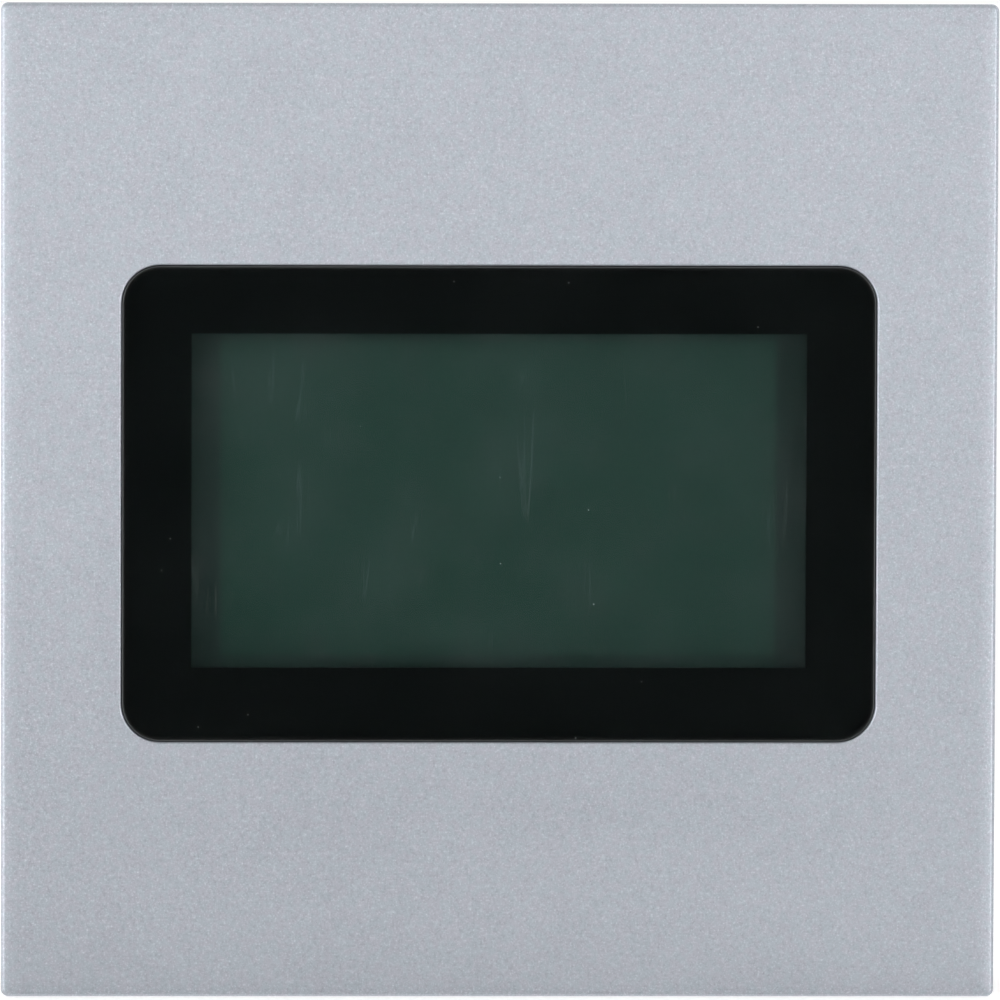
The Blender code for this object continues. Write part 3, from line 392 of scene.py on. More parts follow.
def pan_screw(shank: float, head: float, height: float, length: float) -> Shell:
    """Pan-head screw with a threaded shank, seated at y = 0 with its head towards +Y.

    The thread is r = shank (1 - 0.16 |saw(y / pitch - a / turn)|), with a = 0 to a full turn.

    Args:
        shank: outer radius of the thread.
        head: radius of the head.
        height: height of the head.
        length: shank length.

    Returns:
        The closed shell.
    """
    top = screw_head(head, height, 0.55 * height)
    wall = ((0.0, 0.97), (0.08, 1.0), (0.5, 1.0), (0.64, 0.995))  # shares of the height and the radius
    rim = stacked([circle(r * head, 96) for _, r in wall], [y * height for y, _ in wall])
    head_grid = np.concatenate([rim, top])
    rows = max(int(length / (0.06 * MM)), 24)
    y = np.linspace(-length, 0.05 * MM, rows)[:, None]
    angle = np.arange(24)[None, :] * math.tau / 24
    pitch = 0.9 * shank * 0.55
    saw = np.abs((y / pitch - angle / math.tau) % 1.0 * 2 - 1)
    tip = np.clip((y + length) / (0.8 * shank), 0, 1)
    radius = shank * (1 - 0.16 * saw) * (0.55 + 0.45 * tip)
    thread = np.stack([radius * np.cos(angle), y + 0 * angle, radius * np.sin(angle)], axis=-1)
    return skin(head_grid) + skin(thread)


# Shader maths


class Signal:
    """One output of a shader node, with the arithmetic that the finishes use."""

    def __init__(self, tree: "Wiring", socket: Any) -> None:
        """Holds a socket and the wiring that it is in."""
        self.tree = tree
        self.socket = socket

    def _math(self, operation: str, first: Any, second: Any = 0.0) -> "Signal":
        """One Math node on two values."""
        return self.tree.node("ShaderNodeMath", {"operation": operation}, {0: first, 1: second})

    def __add__(self, other: Any) -> "Signal":
        """self + other."""
        return self._math("ADD", self, other)

    __radd__ = __add__

    def __mul__(self, other: Any) -> "Signal":
        """self * other."""
        return self._math("MULTIPLY", self, other)

    __rmul__ = __mul__

    def __sub__(self, other: Any) -> "Signal":
        """self - other."""
        return self._math("SUBTRACT", self, other)

    def __rsub__(self, other: Any) -> "Signal":
        """other - self."""
        return self._math("SUBTRACT", other, self)

    def __pow__(self, other: float) -> "Signal":
        """self to a power."""
        return self._math("POWER", self, other)

    def between(self, low: float, high: float) -> "Signal":
        """0 below low, 1 above high, and smooth from one to the other; low may be above high.

        Args:
            low: value where it starts from 0.
            high: value where it reaches 1.

        Returns:
            The signal.
        """
        return self.tree.node(
            "ShaderNodeMapRange", {"interpolation_type": "SMOOTHSTEP"}, {0: self, 1: low, 2: high}
        )


class Wiring:
    """Makes and joins the nodes of one node tree."""

    def __init__(self, tree: bpy.types.NodeTree) -> None:
        """Holds the tree's nodes and links."""
        self.nodes = tree.nodes
        self.links = tree.links

    def node(self, kind: str, settings: dict[str, Any], inputs: dict[Any, Any], output: Any = 0) -> Signal:
        """Adds a node: its settings first, then the values or links of its sockets.

        Args:
            kind: the node's type.
            settings: its properties.
            inputs: socket name or number to a value or a Signal.
            output: name or number of the socket that is returned.

        Returns:
            The chosen output.
        """
        made = self.nodes.new(kind)
        for key, value in settings.items():
            setattr(made, key, value)
        for key, value in inputs.items():
            self.feed(made.inputs[key], value)
        return Signal(self, made.outputs[output])

    def feed(self, socket: Any, value: Any) -> None:
        """Links a Signal to a socket, or sets the socket to a number, vector or colour.

        Args:
            socket: the input to feed.
            value: a Signal, a number, a vector or a colour.
        """
        if isinstance(value, Signal):
            self.links.new(value.socket, socket)
        elif isinstance(value, tuple) and len(value) == 3 and len(socket.default_value) == 4:
            socket.default_value = (*value, 1.0)
        else:
            socket.default_value = value


class Shader(Wiring):
    """The node tree of one material, with its Principled shader."""

    def __init__(self, name: str) -> None:
        """Starts a material that holds only its Principled shader and its output.

        Args:
            name: the material's name.
        """
        self.material = bpy.data.materials.new(name)
        self.material.use_nodes = True
        super().__init__(self.material.node_tree)
        self.principled = self.nodes["Principled BSDF"]
        place = self.nodes.new("ShaderNodeTexCoord")
        self.place = Signal(self, place.outputs["Object"])

    def noise(self, size: float, detail: float = 2.0, rough: float = 0.5, where: Any = None) -> Signal:
        """Noise from 0 to 1 whose features are about size across."""
        inputs = {"Vector": where or self.place, "Scale": 1 / size, "Detail": detail, "Roughness": rough}
        return self.node("ShaderNodeTexNoise", {}, inputs, "Fac")

    def specks(self, pitch: float, radius: float, share: float) -> Signal:
        """Round specks, 1 in the middle and 0 outside.

        Args:
            pitch: size of the cells that hold one speck each.
            radius: a speck's radius.
            share: part of the cells that hold one.

        Returns:
            The mask.
        """
        inputs = {"Vector": self.place, "Scale": 1 / pitch}
        cell = self.node("ShaderNodeTexVoronoi", {}, inputs, "Distance")
        tint = self.node("ShaderNodeTexVoronoi", {}, inputs, "Color")
        pick = self.node("ShaderNodeSeparateColor", {}, {0: tint}, 0).between(share + 0.001, share)
        return cell.between(radius / pitch, 0.5 * radius / pitch) * pick

    def scratches(self, spacing: float, width: float, turn: float, patch: float) -> Signal:
        """Fine straight scratches in patches: thin bands of a stretched noise, cut up by a coarse one.

        Args:
            spacing: distance between them.
            width: share of the spacing that a scratch takes.
            turn: direction in the face, in radians from X.
            patch: size of the patches.

        Returns:
            The mask.
        """
        stretch = {0: self.place, "Rotation": (0, turn, 0), "Scale": (1.0, 1.0, 0.04)}
        turned = self.node("ShaderNodeMapping", {}, stretch)
        band = self.noise(spacing, 1.0, 0.4, turned)
        line = band.between(0.5 + width, 0.5) * band.between(0.5 - width, 0.5)
        return line * self.noise(patch, 1.0).between(0.58, 0.68)

    def axis(self, number: int) -> Signal:
        """One of the object's own coordinates: 0 for X, 1 for Y, 2 for Z."""
        return self.node("ShaderNodeSeparateXYZ", {}, {0: self.place}, number)

    def mix(self, share: Any, first: Any, second: Any) -> Signal:
        """Colour that goes from first to second."""
        inputs = {0: share, 6: first, 7: second}
        return self.node("ShaderNodeMix", {"data_type": "RGBA"}, inputs, 2)

    def bump(self, height: Signal, distance: float) -> Signal:
        """Normal of a height in units of distance."""
        return self.node("ShaderNodeBump", {}, {"Strength": 1.0, "Distance": distance, "Height": height})

    def dress(self, **sockets: Any) -> bpy.types.Material:
        """Feeds the Principled shader's sockets, named with _ for spaces, and returns the material.

        Args:
            sockets: socket name, with _ for spaces, to a Signal or a value.

        Returns:
            The material.
        """
        for name, value in sockets.items():
            self.feed(self.principled.inputs[name.replace("_", " ")], value)
        return self.material


# Finishes


@dataclass(frozen=True)
class Finish:
    """A finish with a grain and a broad mottle."""

    name: str
    slot: str
    colour: Colour
    second: Colour
    grain: float = 0.3 * MM
    mottle: float = 6.0 * MM
    grain_share: float = 0.5
    roughness: float = 0.5
    roughness_swing: float = 0.1
    relief: float = 0.01 * MM
    metallic: float = 0.0
    level: float = 0.5

    def build(self) -> bpy.types.Material:
        """Makes the material: grain and mottle mix two colours, and drive roughness and relief.

        Returns:
            The material.
        """
        shader = Shader(self.name)
        grain = shader.noise(self.grain, 3.0, 0.6)
        mottle = shader.noise(self.mottle, 2.0)
        share = grain * self.grain_share + mottle * (1 - self.grain_share)
        rough = self.roughness + (share - 0.5) * (2 * self.roughness_swing)
        return shader.dress(
            Base_Color=shader.mix(share.between(0.25, 0.75), self.colour, self.second),
            Roughness=rough,
            Metallic=self.metallic,
            Specular_IOR_Level=self.level,
            Normal=shader.bump(grain, self.relief),
        )


@dataclass(frozen=True)
class BlastedAluminium(Finish):
    """Bead-blasted, clear-anodised aluminium: bright and dark grain on patches of two cool greys."""

    fleck: float = 0.20 * MM
    bright: Colour = (0.82, 0.855, 0.895)
    dark: Colour = (0.255, 0.272, 0.315)

    def build(self) -> bpy.types.Material:
        """Makes the material.

        Returns:
            The material.
        """
        shader = Shader(self.name)
        fine = shader.noise(self.fleck, 2.0, 0.6)
        grain = shader.noise(self.grain, 2.0, 0.55)
        hue = shader.noise(1.1 * MM, 2.0, 0.6)
        cloud = shader.noise(self.mottle, 3.0, 0.6)
        nick = shader.specks(24.0 * MM, 0.35 * MM, 0.10)
        body = shader.mix(hue.between(0.38, 0.62), self.colour, self.second)
        shade = fine.between(0.48, 0.26) * 0.26 + grain.between(0.50, 0.28) * 0.20
        body = shader.mix(shade + cloud.between(0.6, 0.3) * 0.05, body, self.dark)
        glint = fine.between(0.54, 0.74) * 0.44 + grain.between(0.54, 0.74) * 0.20
        body = shader.mix(glint, body, self.bright)
        body = shader.mix(nick * 0.5, body, (0.10, 0.10, 0.11))
        return shader.dress(
            Base_Color=body,
            Roughness=self.roughness + (grain - 0.5) * (2 * self.roughness_swing),
            Metallic=self.metallic,
            Normal=shader.bump(fine * 0.5 + grain, self.relief),
        )


@dataclass(frozen=True)
class ClearGlass:
    """Cover glass or acrylic, with a trace of smears and dust."""

    name: str
    slot: str
    tint: Colour
    roughness: float = 0.02
    index: float = 1.5

    def build(self) -> bpy.types.Material:
        """Makes the material.

        Returns:
            The material.
        """
        shader = Shader(self.name)
        smear = shader.noise(9.0 * MM, 3.0, 0.6).between(0.55, 0.8)
        dust = shader.specks(3.2 * MM, 0.09 * MM, 0.45) + shader.specks(8.0 * MM, 0.15 * MM, 0.3)
        return shader.dress(
            Base_Color=shader.mix(dust * 0.3, self.tint, (0.6, 0.6, 0.6)),
            Roughness=self.roughness + smear * 0.02 + dust * 0.35,
            Transmission_Weight=1.0,
            IOR=self.index,
        )


@dataclass(frozen=True)
class DarkDisplay:
    """Face of a blank liquid-crystal display: deep clouded green, with painted shade that turns it grey near
    its edges, where the window's frame shades it.
    """

    name: str
    slot: str
    colour: Colour
    cloud: Colour
    # rim is the grey of the painted shade near the display's edges; the band's width and strength follow.
    rim: Colour
    half_width: float = 34.9 * MM
    half_height: float = 19.0 * MM
    shade_band_width: float = 3.8 * MM
    shade_band_share: float = 0.45

    def build(self) -> bpy.types.Material:
        """Makes the material; the painted shade mask is 1 within the band's width of the sides of the seen
        area.

        Returns:
            The material.
        """
        shader = Shader(self.name)
        broad = shader.noise(17.0 * MM, 2.0, 0.5)
        middle = shader.noise(3.5 * MM, 3.0, 0.6)
        fine = shader.noise(0.28 * MM, 2.0, 0.7)
        share = broad * 0.30 + middle * 0.20 + fine * 0.50
        body = shader.mix(share.between(0.36, 0.66), self.colour, self.cloud)
        # Painted shade: grey along the sides and, weaker, along the top and bottom, where the window's frame
        # shades the display.
        shade_from_x, shade_from_z = self.half_width - self.shade_band_width, self.half_height - 1.5 * MM
        sides = (shader.axis(0) ** 2).between(shade_from_x**2, (shade_from_x + 0.25 * self.shade_band_width) ** 2)
        ends = (shader.axis(2) ** 2).between(shade_from_z**2, (shade_from_z + 0.9 * MM) ** 2)
        edge = 1 - (1 - sides) * (1 - ends * 0.7)
        return shader.dress(
            Base_Color=shader.mix(edge * self.shade_band_share, body, self.rim),
            Roughness=0.42 + fine * 0.12,
            Specular_IOR_Level=0.2,
            Normal=shader.bump(fine, 0.004 * MM),
        )


@dataclass(frozen=True)
class HazyFilm:
    """Clear film with a faint haze, fine scratches and a little dust, all held in its alpha."""

    name: str
    slot: str
    tone: Colour
    haze: float = 0.013

    def build(self) -> bpy.types.Material:
        """Makes the material.

        Returns:
            The material.
        """
        shader = Shader(self.name)
        cloud = shader.noise(9.0 * MM, 3.0, 0.55).between(0.35, 0.8)
        smear = shader.noise(1.3 * MM, 3.0, 0.7).between(0.55, 0.8)
        marks = shader.scratches(1.9 * MM, 0.010, 0.35, 9.0 * MM)
        marks = marks + shader.scratches(2.3 * MM, 0.009, 1.45, 8.0 * MM)
        dust = shader.specks(4.5 * MM, 0.13 * MM, 0.22) + shader.specks(1.9 * MM, 0.06 * MM, 0.2)
        veil = self.haze * (cloud * 0.7 + smear * 0.5 + 0.45)
        alpha = veil + marks * 0.035 + dust * 0.16
        return shader.dress(Base_Color=self.tone, Roughness=0.9, Specular_IOR_Level=0.0, Alpha=alpha)


@dataclass(frozen=True)
class SolderMask(Finish):
    """Solder mask over copper tracks and pads on a glass-fibre board."""

    def build(self) -> bpy.types.Material:
        """Makes the material: a brick pattern stands in relief as the tracks, and specks as vias.

        Returns:
            The material.
        """
        shader = Shader(self.name)
        turn = {0: shader.place, "Rotation": (math.pi / 2, 0, 0)}
        courses = {
            "Vector": shader.node("ShaderNodeMapping", {}, turn),
            "Color1": (0, 0, 0),
            "Color2": (0, 0, 0),
            "Mortar": (1, 1, 1),
            "Scale": 1.0,
            "Mortar Size": 0.16 * MM,
            "Brick Width": 7.5 * MM,
            "Row Height": 1.1 * MM,
        }
        stagger = {"offset": 0.37, "squash": 0.7, "squash_frequency": 3}
        brick = shader.node("ShaderNodeTexBrick", stagger, courses, "Fac")
        track = brick * shader.noise(12.0 * MM, 0.0).between(0.44, 0.5)
        via = shader.specks(2.4 * MM, 0.42 * MM, 0.4)
        grain = shader.noise(self.grain, 2.0)
        body = shader.mix(track, self.colour, self.second)
        body = shader.mix(via, body, (0.55, 0.50, 0.36))
        return shader.dress(
            Base_Color=body,
            Roughness=self.roughness + (grain - 0.5) * 0.1,
            Metallic=via * 0.8,
            Normal=shader.bump(track + via + grain * 0.1, self.relief),
        )


@dataclass(frozen=True)
class WorkedMetal(Finish):
    """Turned, plated or pressed metal: fine streaks along X over a faint cloud."""

    def build(self) -> bpy.types.Material:
        """Makes the material.

        Returns:
            The material.
        """
        shader = Shader(self.name)
        along = shader.node("ShaderNodeMapping", {}, {0: shader.place, "Scale": (0.12, 1.0, 1.0)})
        streak = shader.noise(self.grain, 3.0, 0.6, along)
        cloud = shader.noise(self.mottle, 2.0)
        share = streak * 0.6 + cloud * 0.4
        return shader.dress(
            Base_Color=shader.mix(share.between(0.3, 0.7), self.colour, self.second),
            Roughness=self.roughness + (streak - 0.5) * (2 * self.roughness_swing),
            Metallic=self.metallic,
            Normal=shader.bump(streak, self.relief),
        )


def palette() -> dict[str, Any]:
    """Every finish of the module, by name.

    Returns:
        Name to finish.
    """
    blasted = {"grain": 0.42 * MM, "mottle": 7.0 * MM, "roughness": 0.58, "roughness_swing": 0.05}
    board = {"roughness": 0.35, "relief": 0.03 * MM}
    moulded = {"grain": 0.34 * MM, "mottle": 16 * MM, "grain_share": 0.75, "roughness_swing": 0.14}
    turned = {"grain": 0.12 * MM, "mottle": 1.5 * MM, "metallic": 1.0, "relief": 0.004 * MM}
    printed = {"grain": 0.25 * MM, "mottle": 9 * MM, "relief": 0.001 * MM, "level": 0.2}
    # The display's colours: body, cloud, and the grey of the painted shade near its edges.
    display = ((0.0165, 0.058, 0.0435), (0.0260, 0.069, 0.0560), (0.0135, 0.0135, 0.018))
    rows: list[tuple[Any, ...]] = [
        ("foam_tape", "foam_tape", (0.010, 0.010, 0.011), (0.03, 0.03, 0.032), 0.25, 3, 0.8, 0.95),
        ("white_film", "white_sheet", (0.74, 0.75, 0.73), (0.86, 0.87, 0.85), 0.2, 5, 0.5, 0.7),
        ("grey_silicone", "grey_silicone", (0.10, 0.105, 0.11), (0.15, 0.155, 0.16), 0.15, 4, 0.5, 0.62),
        ("contact_rubber", "zebra_rubber", (0.16, 0.17, 0.20), (0.34, 0.35, 0.38), 0.1, 1, 0.8, 0.7),
        ("black_epoxy", "black_epoxy", (0.009, 0.009, 0.010), (0.022, 0.022, 0.024), 0.12, 2, 0.6, 0.5),
        ("natural_nylon", "white_nylon", (0.70, 0.67, 0.58), (0.80, 0.77, 0.68), 0.3, 3, 0.4, 0.42, 0.06),
        ("red_moulding", "red_switch", (0.42, 0.018, 0.012), (0.52, 0.03, 0.02), 0.3, 3, 0.5, 0.35),
        ("blue_moulding", "blue_trimmer", (0.015, 0.07, 0.32), (0.03, 0.11, 0.42), 0.3, 3, 0.5, 0.38),
        ("ceramic_body", "white_sheet", (0.70, 0.62, 0.48), (0.80, 0.74, 0.60), 0.1, 1, 0.5, 0.5),
        ("ground_glass_edge", "clear_glass", (0.028, 0.030, 0.031), (0.06, 0.063, 0.065), 0.1, 2, 0.6, 0.5),
    ]
    finishes: list[Any] = [Finish(*row[:4], row[4] * MM, row[5] * MM, *row[6:]) for row in rows]
    finishes += [
        Finish(
            "porous_film",
            "vent_film",
            (0.34, 0.345, 0.345),
            (0.52, 0.525, 0.525),
            0.12 * MM,
            2 * MM,
            0.8,
            roughness=0.85,
            roughness_swing=0.05,
            relief=0.03 * MM,
        ),
        BlastedAluminium(
            "blasted_aluminium",
            "anodised_aluminium",
            (0.495, 0.537, 0.583),
            (0.511, 0.524, 0.577),
            relief=0.006 * MM,
            metallic=1.0,
            **blasted,
        ),
        ClearGlass("cover_glass", "clear_glass", (0.90, 0.95, 0.94)),
        ClearGlass("cell_glass", "clear_glass", (0.80, 0.88, 0.86)),
        ClearGlass("clear_acrylic", "clear_acrylic", (0.92, 0.95, 0.97), 0.05, 1.49),
        Finish(
            "black_print",
            "black_print",
            (0.0012, 0.0026, 0.0028),
            (0.0042, 0.0058, 0.0061),
            roughness=0.35,
            **printed,
        ),
        DarkDisplay("dark_display", "polariser_film", *display),
        HazyFilm("hazy_film", "clear_glass", (0.80, 0.82, 0.86)),
        Finish(
            "black_moulding",
            "black_abs",
            (0.008, 0.0083, 0.009),
            (0.024, 0.0245, 0.026),
            roughness=0.52,
            relief=0.05 * MM,
            **moulded,
        ),
        SolderMask("green_mask", "green_board", (0.012, 0.10, 0.035), (0.03, 0.19, 0.07), **board),
        SolderMask("blue_mask", "blue_board", (0.010, 0.045, 0.16), (0.025, 0.10, 0.28), **board),
        WorkedMetal(
            "black_steel",
            "black_steel",
            (0.012, 0.012, 0.013),
            (0.03, 0.03, 0.032),
            roughness=0.45,
            metallic=0.6,
        ),
        WorkedMetal(
            "zinc_plate",
            "zinc_steel",
            (0.50, 0.51, 0.53),
            (0.72, 0.73, 0.74),
            roughness=0.34,
            **turned,
        ),
        WorkedMetal("turned_brass", "brass", (0.58, 0.40, 0.15), (0.78, 0.60, 0.28), roughness=0.3, **turned),
        WorkedMetal(
            "gilt",
            "brass",
            (0.78, 0.56, 0.20),
            (0.90, 0.70, 0.32),
            grain=0.1 * MM,
            roughness=0.22,
            metallic=1.0,
        ),
    ]
    return {finish.name: finish for finish in finishes}


# Bench: where pieces are put together


class Bench:
    """Makes pieces, puts their finishes on, hangs each on its body and hides the CAD nodes that it stands
    for.
    """

    def __init__(self, nodes: dict[str, bpy.types.Object]) -> None:
        """Starts with the CAD nodes and the palette.

        Args:
            nodes: the CAD nodes, by name.
        """
        self.nodes = nodes
        self.finishes = palette()
        self.materials: dict[str, bpy.types.Material] = {}
        self.dressed: set[str] = set()

    def material(self, name: str) -> bpy.types.Material:
        """The material of a finish, made once.

        Args:
            name: the finish's name.

        Returns:
            The material.
        """
        if name not in self.materials:
            self.materials[name] = self.finishes[name].build()
        return self.materials[name]

    def solid(self, name: str, shell: Shell) -> bpy.types.Object:
        """Turns a shell into a bare object with merged points and outward faces.

        Args:
            name: the object's name.
            shell: its surface.

        Returns:
            The object, linked to the scene.
        """
        mesh = bpy.data.meshes.new(name)
        mesh.from_pydata(shell.points.tolist(), [], shell.faces)
        mesh.polygons.foreach_set("material_index", shell.finishes)
        tidy_mesh(mesh)
        made = bpy.data.objects.new(name, mesh)
        bpy.context.scene.collection.objects.link(made)
        return made

    def piece(
        self,
        name: str,
        shell: Shell,
        finishes: str | Sequence[str],
        body: str = MODULE,
        stands_for: Sequence[str] = (),
        cuts: Sequence[Shell] = (),
    ) -> bpy.types.Object:
        """Makes a finished piece.

        Args:
            name: the piece's name.
            shell: its surface.
            finishes: one finish, or one for each index that the shell's faces name.
            body: the CAD body that it rides on.
            stands_for: the CAD nodes that it replaces.
            cuts: shapes taken away from it, in turn.

        Returns:
            The object.
        """
        made = self.solid(name, shell)
        for number, helper in enumerate(cuts):
            self.cut(made, self.solid(f"{name}_cut_{number}", helper))
        return self.finish(made, finishes, body, stands_for)

    def softened(
        self, node: str, finishes: str, body: str = MODULE, edge: float = 0.08 * MM
    ) -> bpy.types.Object:
        """A copy of a CAD node with its facets joined and its edges rounded, which replaces the node.

        Args:
            node: the CAD node whose mesh is bevelled.
            finishes: names of its finishes.
            body: the body that it rides on.
            edge: width of the softened edge.

        Returns:
            The piece.
        """
        mesh = self.nodes[node].data.copy()
        mesh.materials.clear()
        tidy_mesh(mesh, merge_flat=True)
        made = bpy.data.objects.new(f"{node}_shape", mesh)
        bpy.context.scene.collection.objects.link(made)
        bevel = made.modifiers.new("rounded_edges", "BEVEL")
        bevel.width = edge
        bevel.segments = 2
        bevel.limit_method = "ANGLE"
        bevel.angle_limit = BEVEL_ANGLE
        bevel.harden_normals = False
        return self.finish(made, finishes, body, (node,))

    def finish(
        self, made: bpy.types.Object, finishes: str | Sequence[str], body: str, stands_for: Sequence[str]
    ) -> bpy.types.Object:
        """Args:
            made: the piece.
            finishes: names of the finishes.
            body: the body that it rides on.
            stands_for: the CAD nodes that it replaces.

        Returns:
            The piece.
        """
        names = [finishes] if isinstance(finishes, str) else list(finishes)
        for finish_name in names:
            made.data.materials.append(self.material(finish_name))
        made.data.shade_smooth()
        made.data.set_sharp_from_angle(angle=SHARP_ANGLE)
        weighted = made.modifiers.new("flat_faces_first", "WEIGHTED_NORMAL")
        weighted.keep_sharp = True
        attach(made, body)
        if stands_for:
            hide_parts(*stands_for)
            self.dressed.update(stands_for)
        LOG.info("%s on %s in %s", made.name, body, ", ".join(names))
        return made

    def cut(self, made: bpy.types.Object, helper: bpy.types.Object) -> None:
        """Takes a helper away from a piece, and leaves the result in the piece's mesh.

        Args:
            made: the piece.
            helper: the shape that is taken away.
        """
        modifier = made.modifiers.new("cut", "BOOLEAN")
        modifier.operation = "DIFFERENCE"
        modifier.solver = "EXACT"
        modifier.object = helper
        bpy.context.view_layer.update()
        evaluated = made.evaluated_get(bpy.context.evaluated_depsgraph_get())
        mesh = bpy.data.meshes.new_from_object(evaluated)
        made.modifiers.clear()
        made.data = mesh
        mesh.name = made.name
        bpy.data.objects.remove(helper, do_unlink=True)

    def dress(self, finish_name: str, *nodes: str) -> None:
        """Gives CAD nodes whose shape is right their finish.

        Args:
            finish_name: the finish's name.
            nodes: the CAD nodes that keep their mesh.
        """
        for node in nodes:
            mesh = self.nodes[node].data
            mesh.materials.clear()
            mesh.materials.append(self.material(finish_name))
            self.dressed.add(node)
            LOG.info("%s keeps its shape, in %s", node, finish_name)


def tidy_mesh(mesh: bpy.types.Mesh, merge_flat: bool = False) -> None:
    """Merges a mesh's doubled points and turns its faces outwards.

    Args:
        mesh: the mesh, changed in place.
        merge_flat: joins the triangles of each flat face too.
    """
    bm = bmesh.new()
    bm.from_mesh(mesh)
    bmesh.ops.remove_doubles(bm, verts=bm.verts, dist=WELD)
    if merge_flat:
        bmesh.ops.dissolve_limit(bm, angle_limit=FLAT_ANGLE, verts=bm.verts, edges=bm.edges)
    bmesh.ops.recalc_face_normals(bm, faces=bm.faces)
    bm.to_mesh(mesh)
    bm.free()
def seat(node: str) -> tuple[Vector, Vector, float, float]:
    """Lowest and highest corner of a CAD node at rest, and the X and Z of its middle."""
    low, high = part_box(node)
    return low, high, (low.x + high.x) / 2, (low.z + high.z) / 2


# Front


@dataclass
class FrontPlate:
    """The aluminium plate: chamfered and slightly rolled-off edges, a stepped window, rear bosses."""

    thickness: float = 3.5 * MM
    corner: float = 0.85 * MM
    chamfer: float = 0.34 * MM
    chamfer_round: float = 0.08 * MM
    roll_width: float = 1.5 * MM
    roll_drop: float = 0.075 * MM
    draft: float = 0.12 * MM
    pocket_gap: float = 0.12 * MM
    pocket_chamfer: float = 0.16 * MM
    pocket_depth: float = 2.15 * MM
    pocket_corner: float = 4.45 * MM
    ledge: float = 5.3 * MM
    ledge_corner: float = 2.0 * MM
    screw_room: float = 4.4 * MM
    steps: int = 12

    def build(self, bench: Bench) -> None:
        """Makes the plate with its bosses.

        Args:
            bench: where the pieces go.
        """
        low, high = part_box("faceplate")
        lens_low, lens_high, _, lens_z = seat("lens_glass")
        width = lens_high.x - lens_low.x + 2 * self.pocket_gap
        height = lens_high.z - lens_low.z + 2 * self.pocket_gap
        outer = self.outer_rings(high.x - low.x)
        inner = self.pocket_rings(width, height) + np.array([0, 0, lens_z])
        plate = skin(np.concatenate([outer, inner]), ring=True).moved(y=low.y)
        shell = plate + self.bosses(low.y)
        bench.piece("blasted_plate", shell, "blasted_aluminium", stands_for=("faceplate",))

    def outer_rings(self, side: float) -> np.ndarray:
        """Rings from the back face's edge, up the side, over the flat chamfer and along the roll-off.

        The roll-off's depth is drop (1 - s)^2, where s goes from 0 at the chamfer to 1 inside.

        Args:
            side: side of the square plate.

        Returns:
            A (k, m, 3) grid.
        """
        c, r, drop = self.chamfer, self.chamfer_round, self.roll_drop
        profile = [(self.thickness, self.draft + 0.1 * MM), (self.thickness - 0.1 * MM, self.draft)]
        profile += [(drop + c + r, 0.0), (drop + c, 0.29 * r)]
        profile += [(drop + r, c - r), (drop + 0.29 * r, c - 0.1 * r)]
        shares = np.linspace(0, 1, 11)
        profile += [(drop * (1 - s) ** 2, c + 0.5 * r + s * self.roll_width) for s in shares]
        return framed(side, side, self.corner, self.steps, profile)

    def pocket_rings(self, width: float, height: float) -> np.ndarray:
        """Rings from the face over the pocket's small chamfer, down its wall, across the ledge and out.

        Args:
            width: the pocket's size along X.
            height: the pocket's size along Z.

        Returns:
            A (k, m, 3) grid.
        """
        c, r = self.pocket_chamfer, 0.3 * self.pocket_chamfer
        profile = [(0.0, -c - r), (0.3 * r, -c), (c, -0.3 * r), (c + r, 0.0), (self.pocket_depth, 0.0)]
        wall = framed(width, height, self.pocket_corner, self.steps, profile)
        opening = rounded(width - 2 * self.ledge, height - 2 * self.ledge, self.ledge_corner, self.steps)
        return np.concatenate([wall, stacked([opening, opening], [self.pocket_depth, self.thickness])])

    def bosses(self, front: float) -> Shell:
        """The screw bosses behind the plate, for the display board and for the housing.

        Args:
            front: Y of the front face.

        Returns:
            The closed shell.
        """
        board_low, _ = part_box("display_board")
        root = front + self.thickness - 0.5 * MM
        shells = []
        for screw, radius, bore, end in (
            ("display_screw", 2.8 * MM, 1.25 * MM, board_low.y - 0.1 * MM),
            ("housing_screw", 4.0 * MM, 1.55 * MM, front + 9.5 * MM),
        ):
            profile = [
                (root, radius + 0.5 * MM),
                (root + 0.6 * MM, radius + 0.35 * MM),
                (root + 1.2 * MM, radius),
                (end - 0.2 * MM, radius),
                (end, radius - 0.2 * MM),
                (end, bore),
                (end - self.screw_room, bore),
                (end - self.screw_room, 0.0),
            ]
            shells += [lathe(profile, 40, seat(f"{screw}_{i}")[2:]) for i in FOUR]
        return joined(shells)


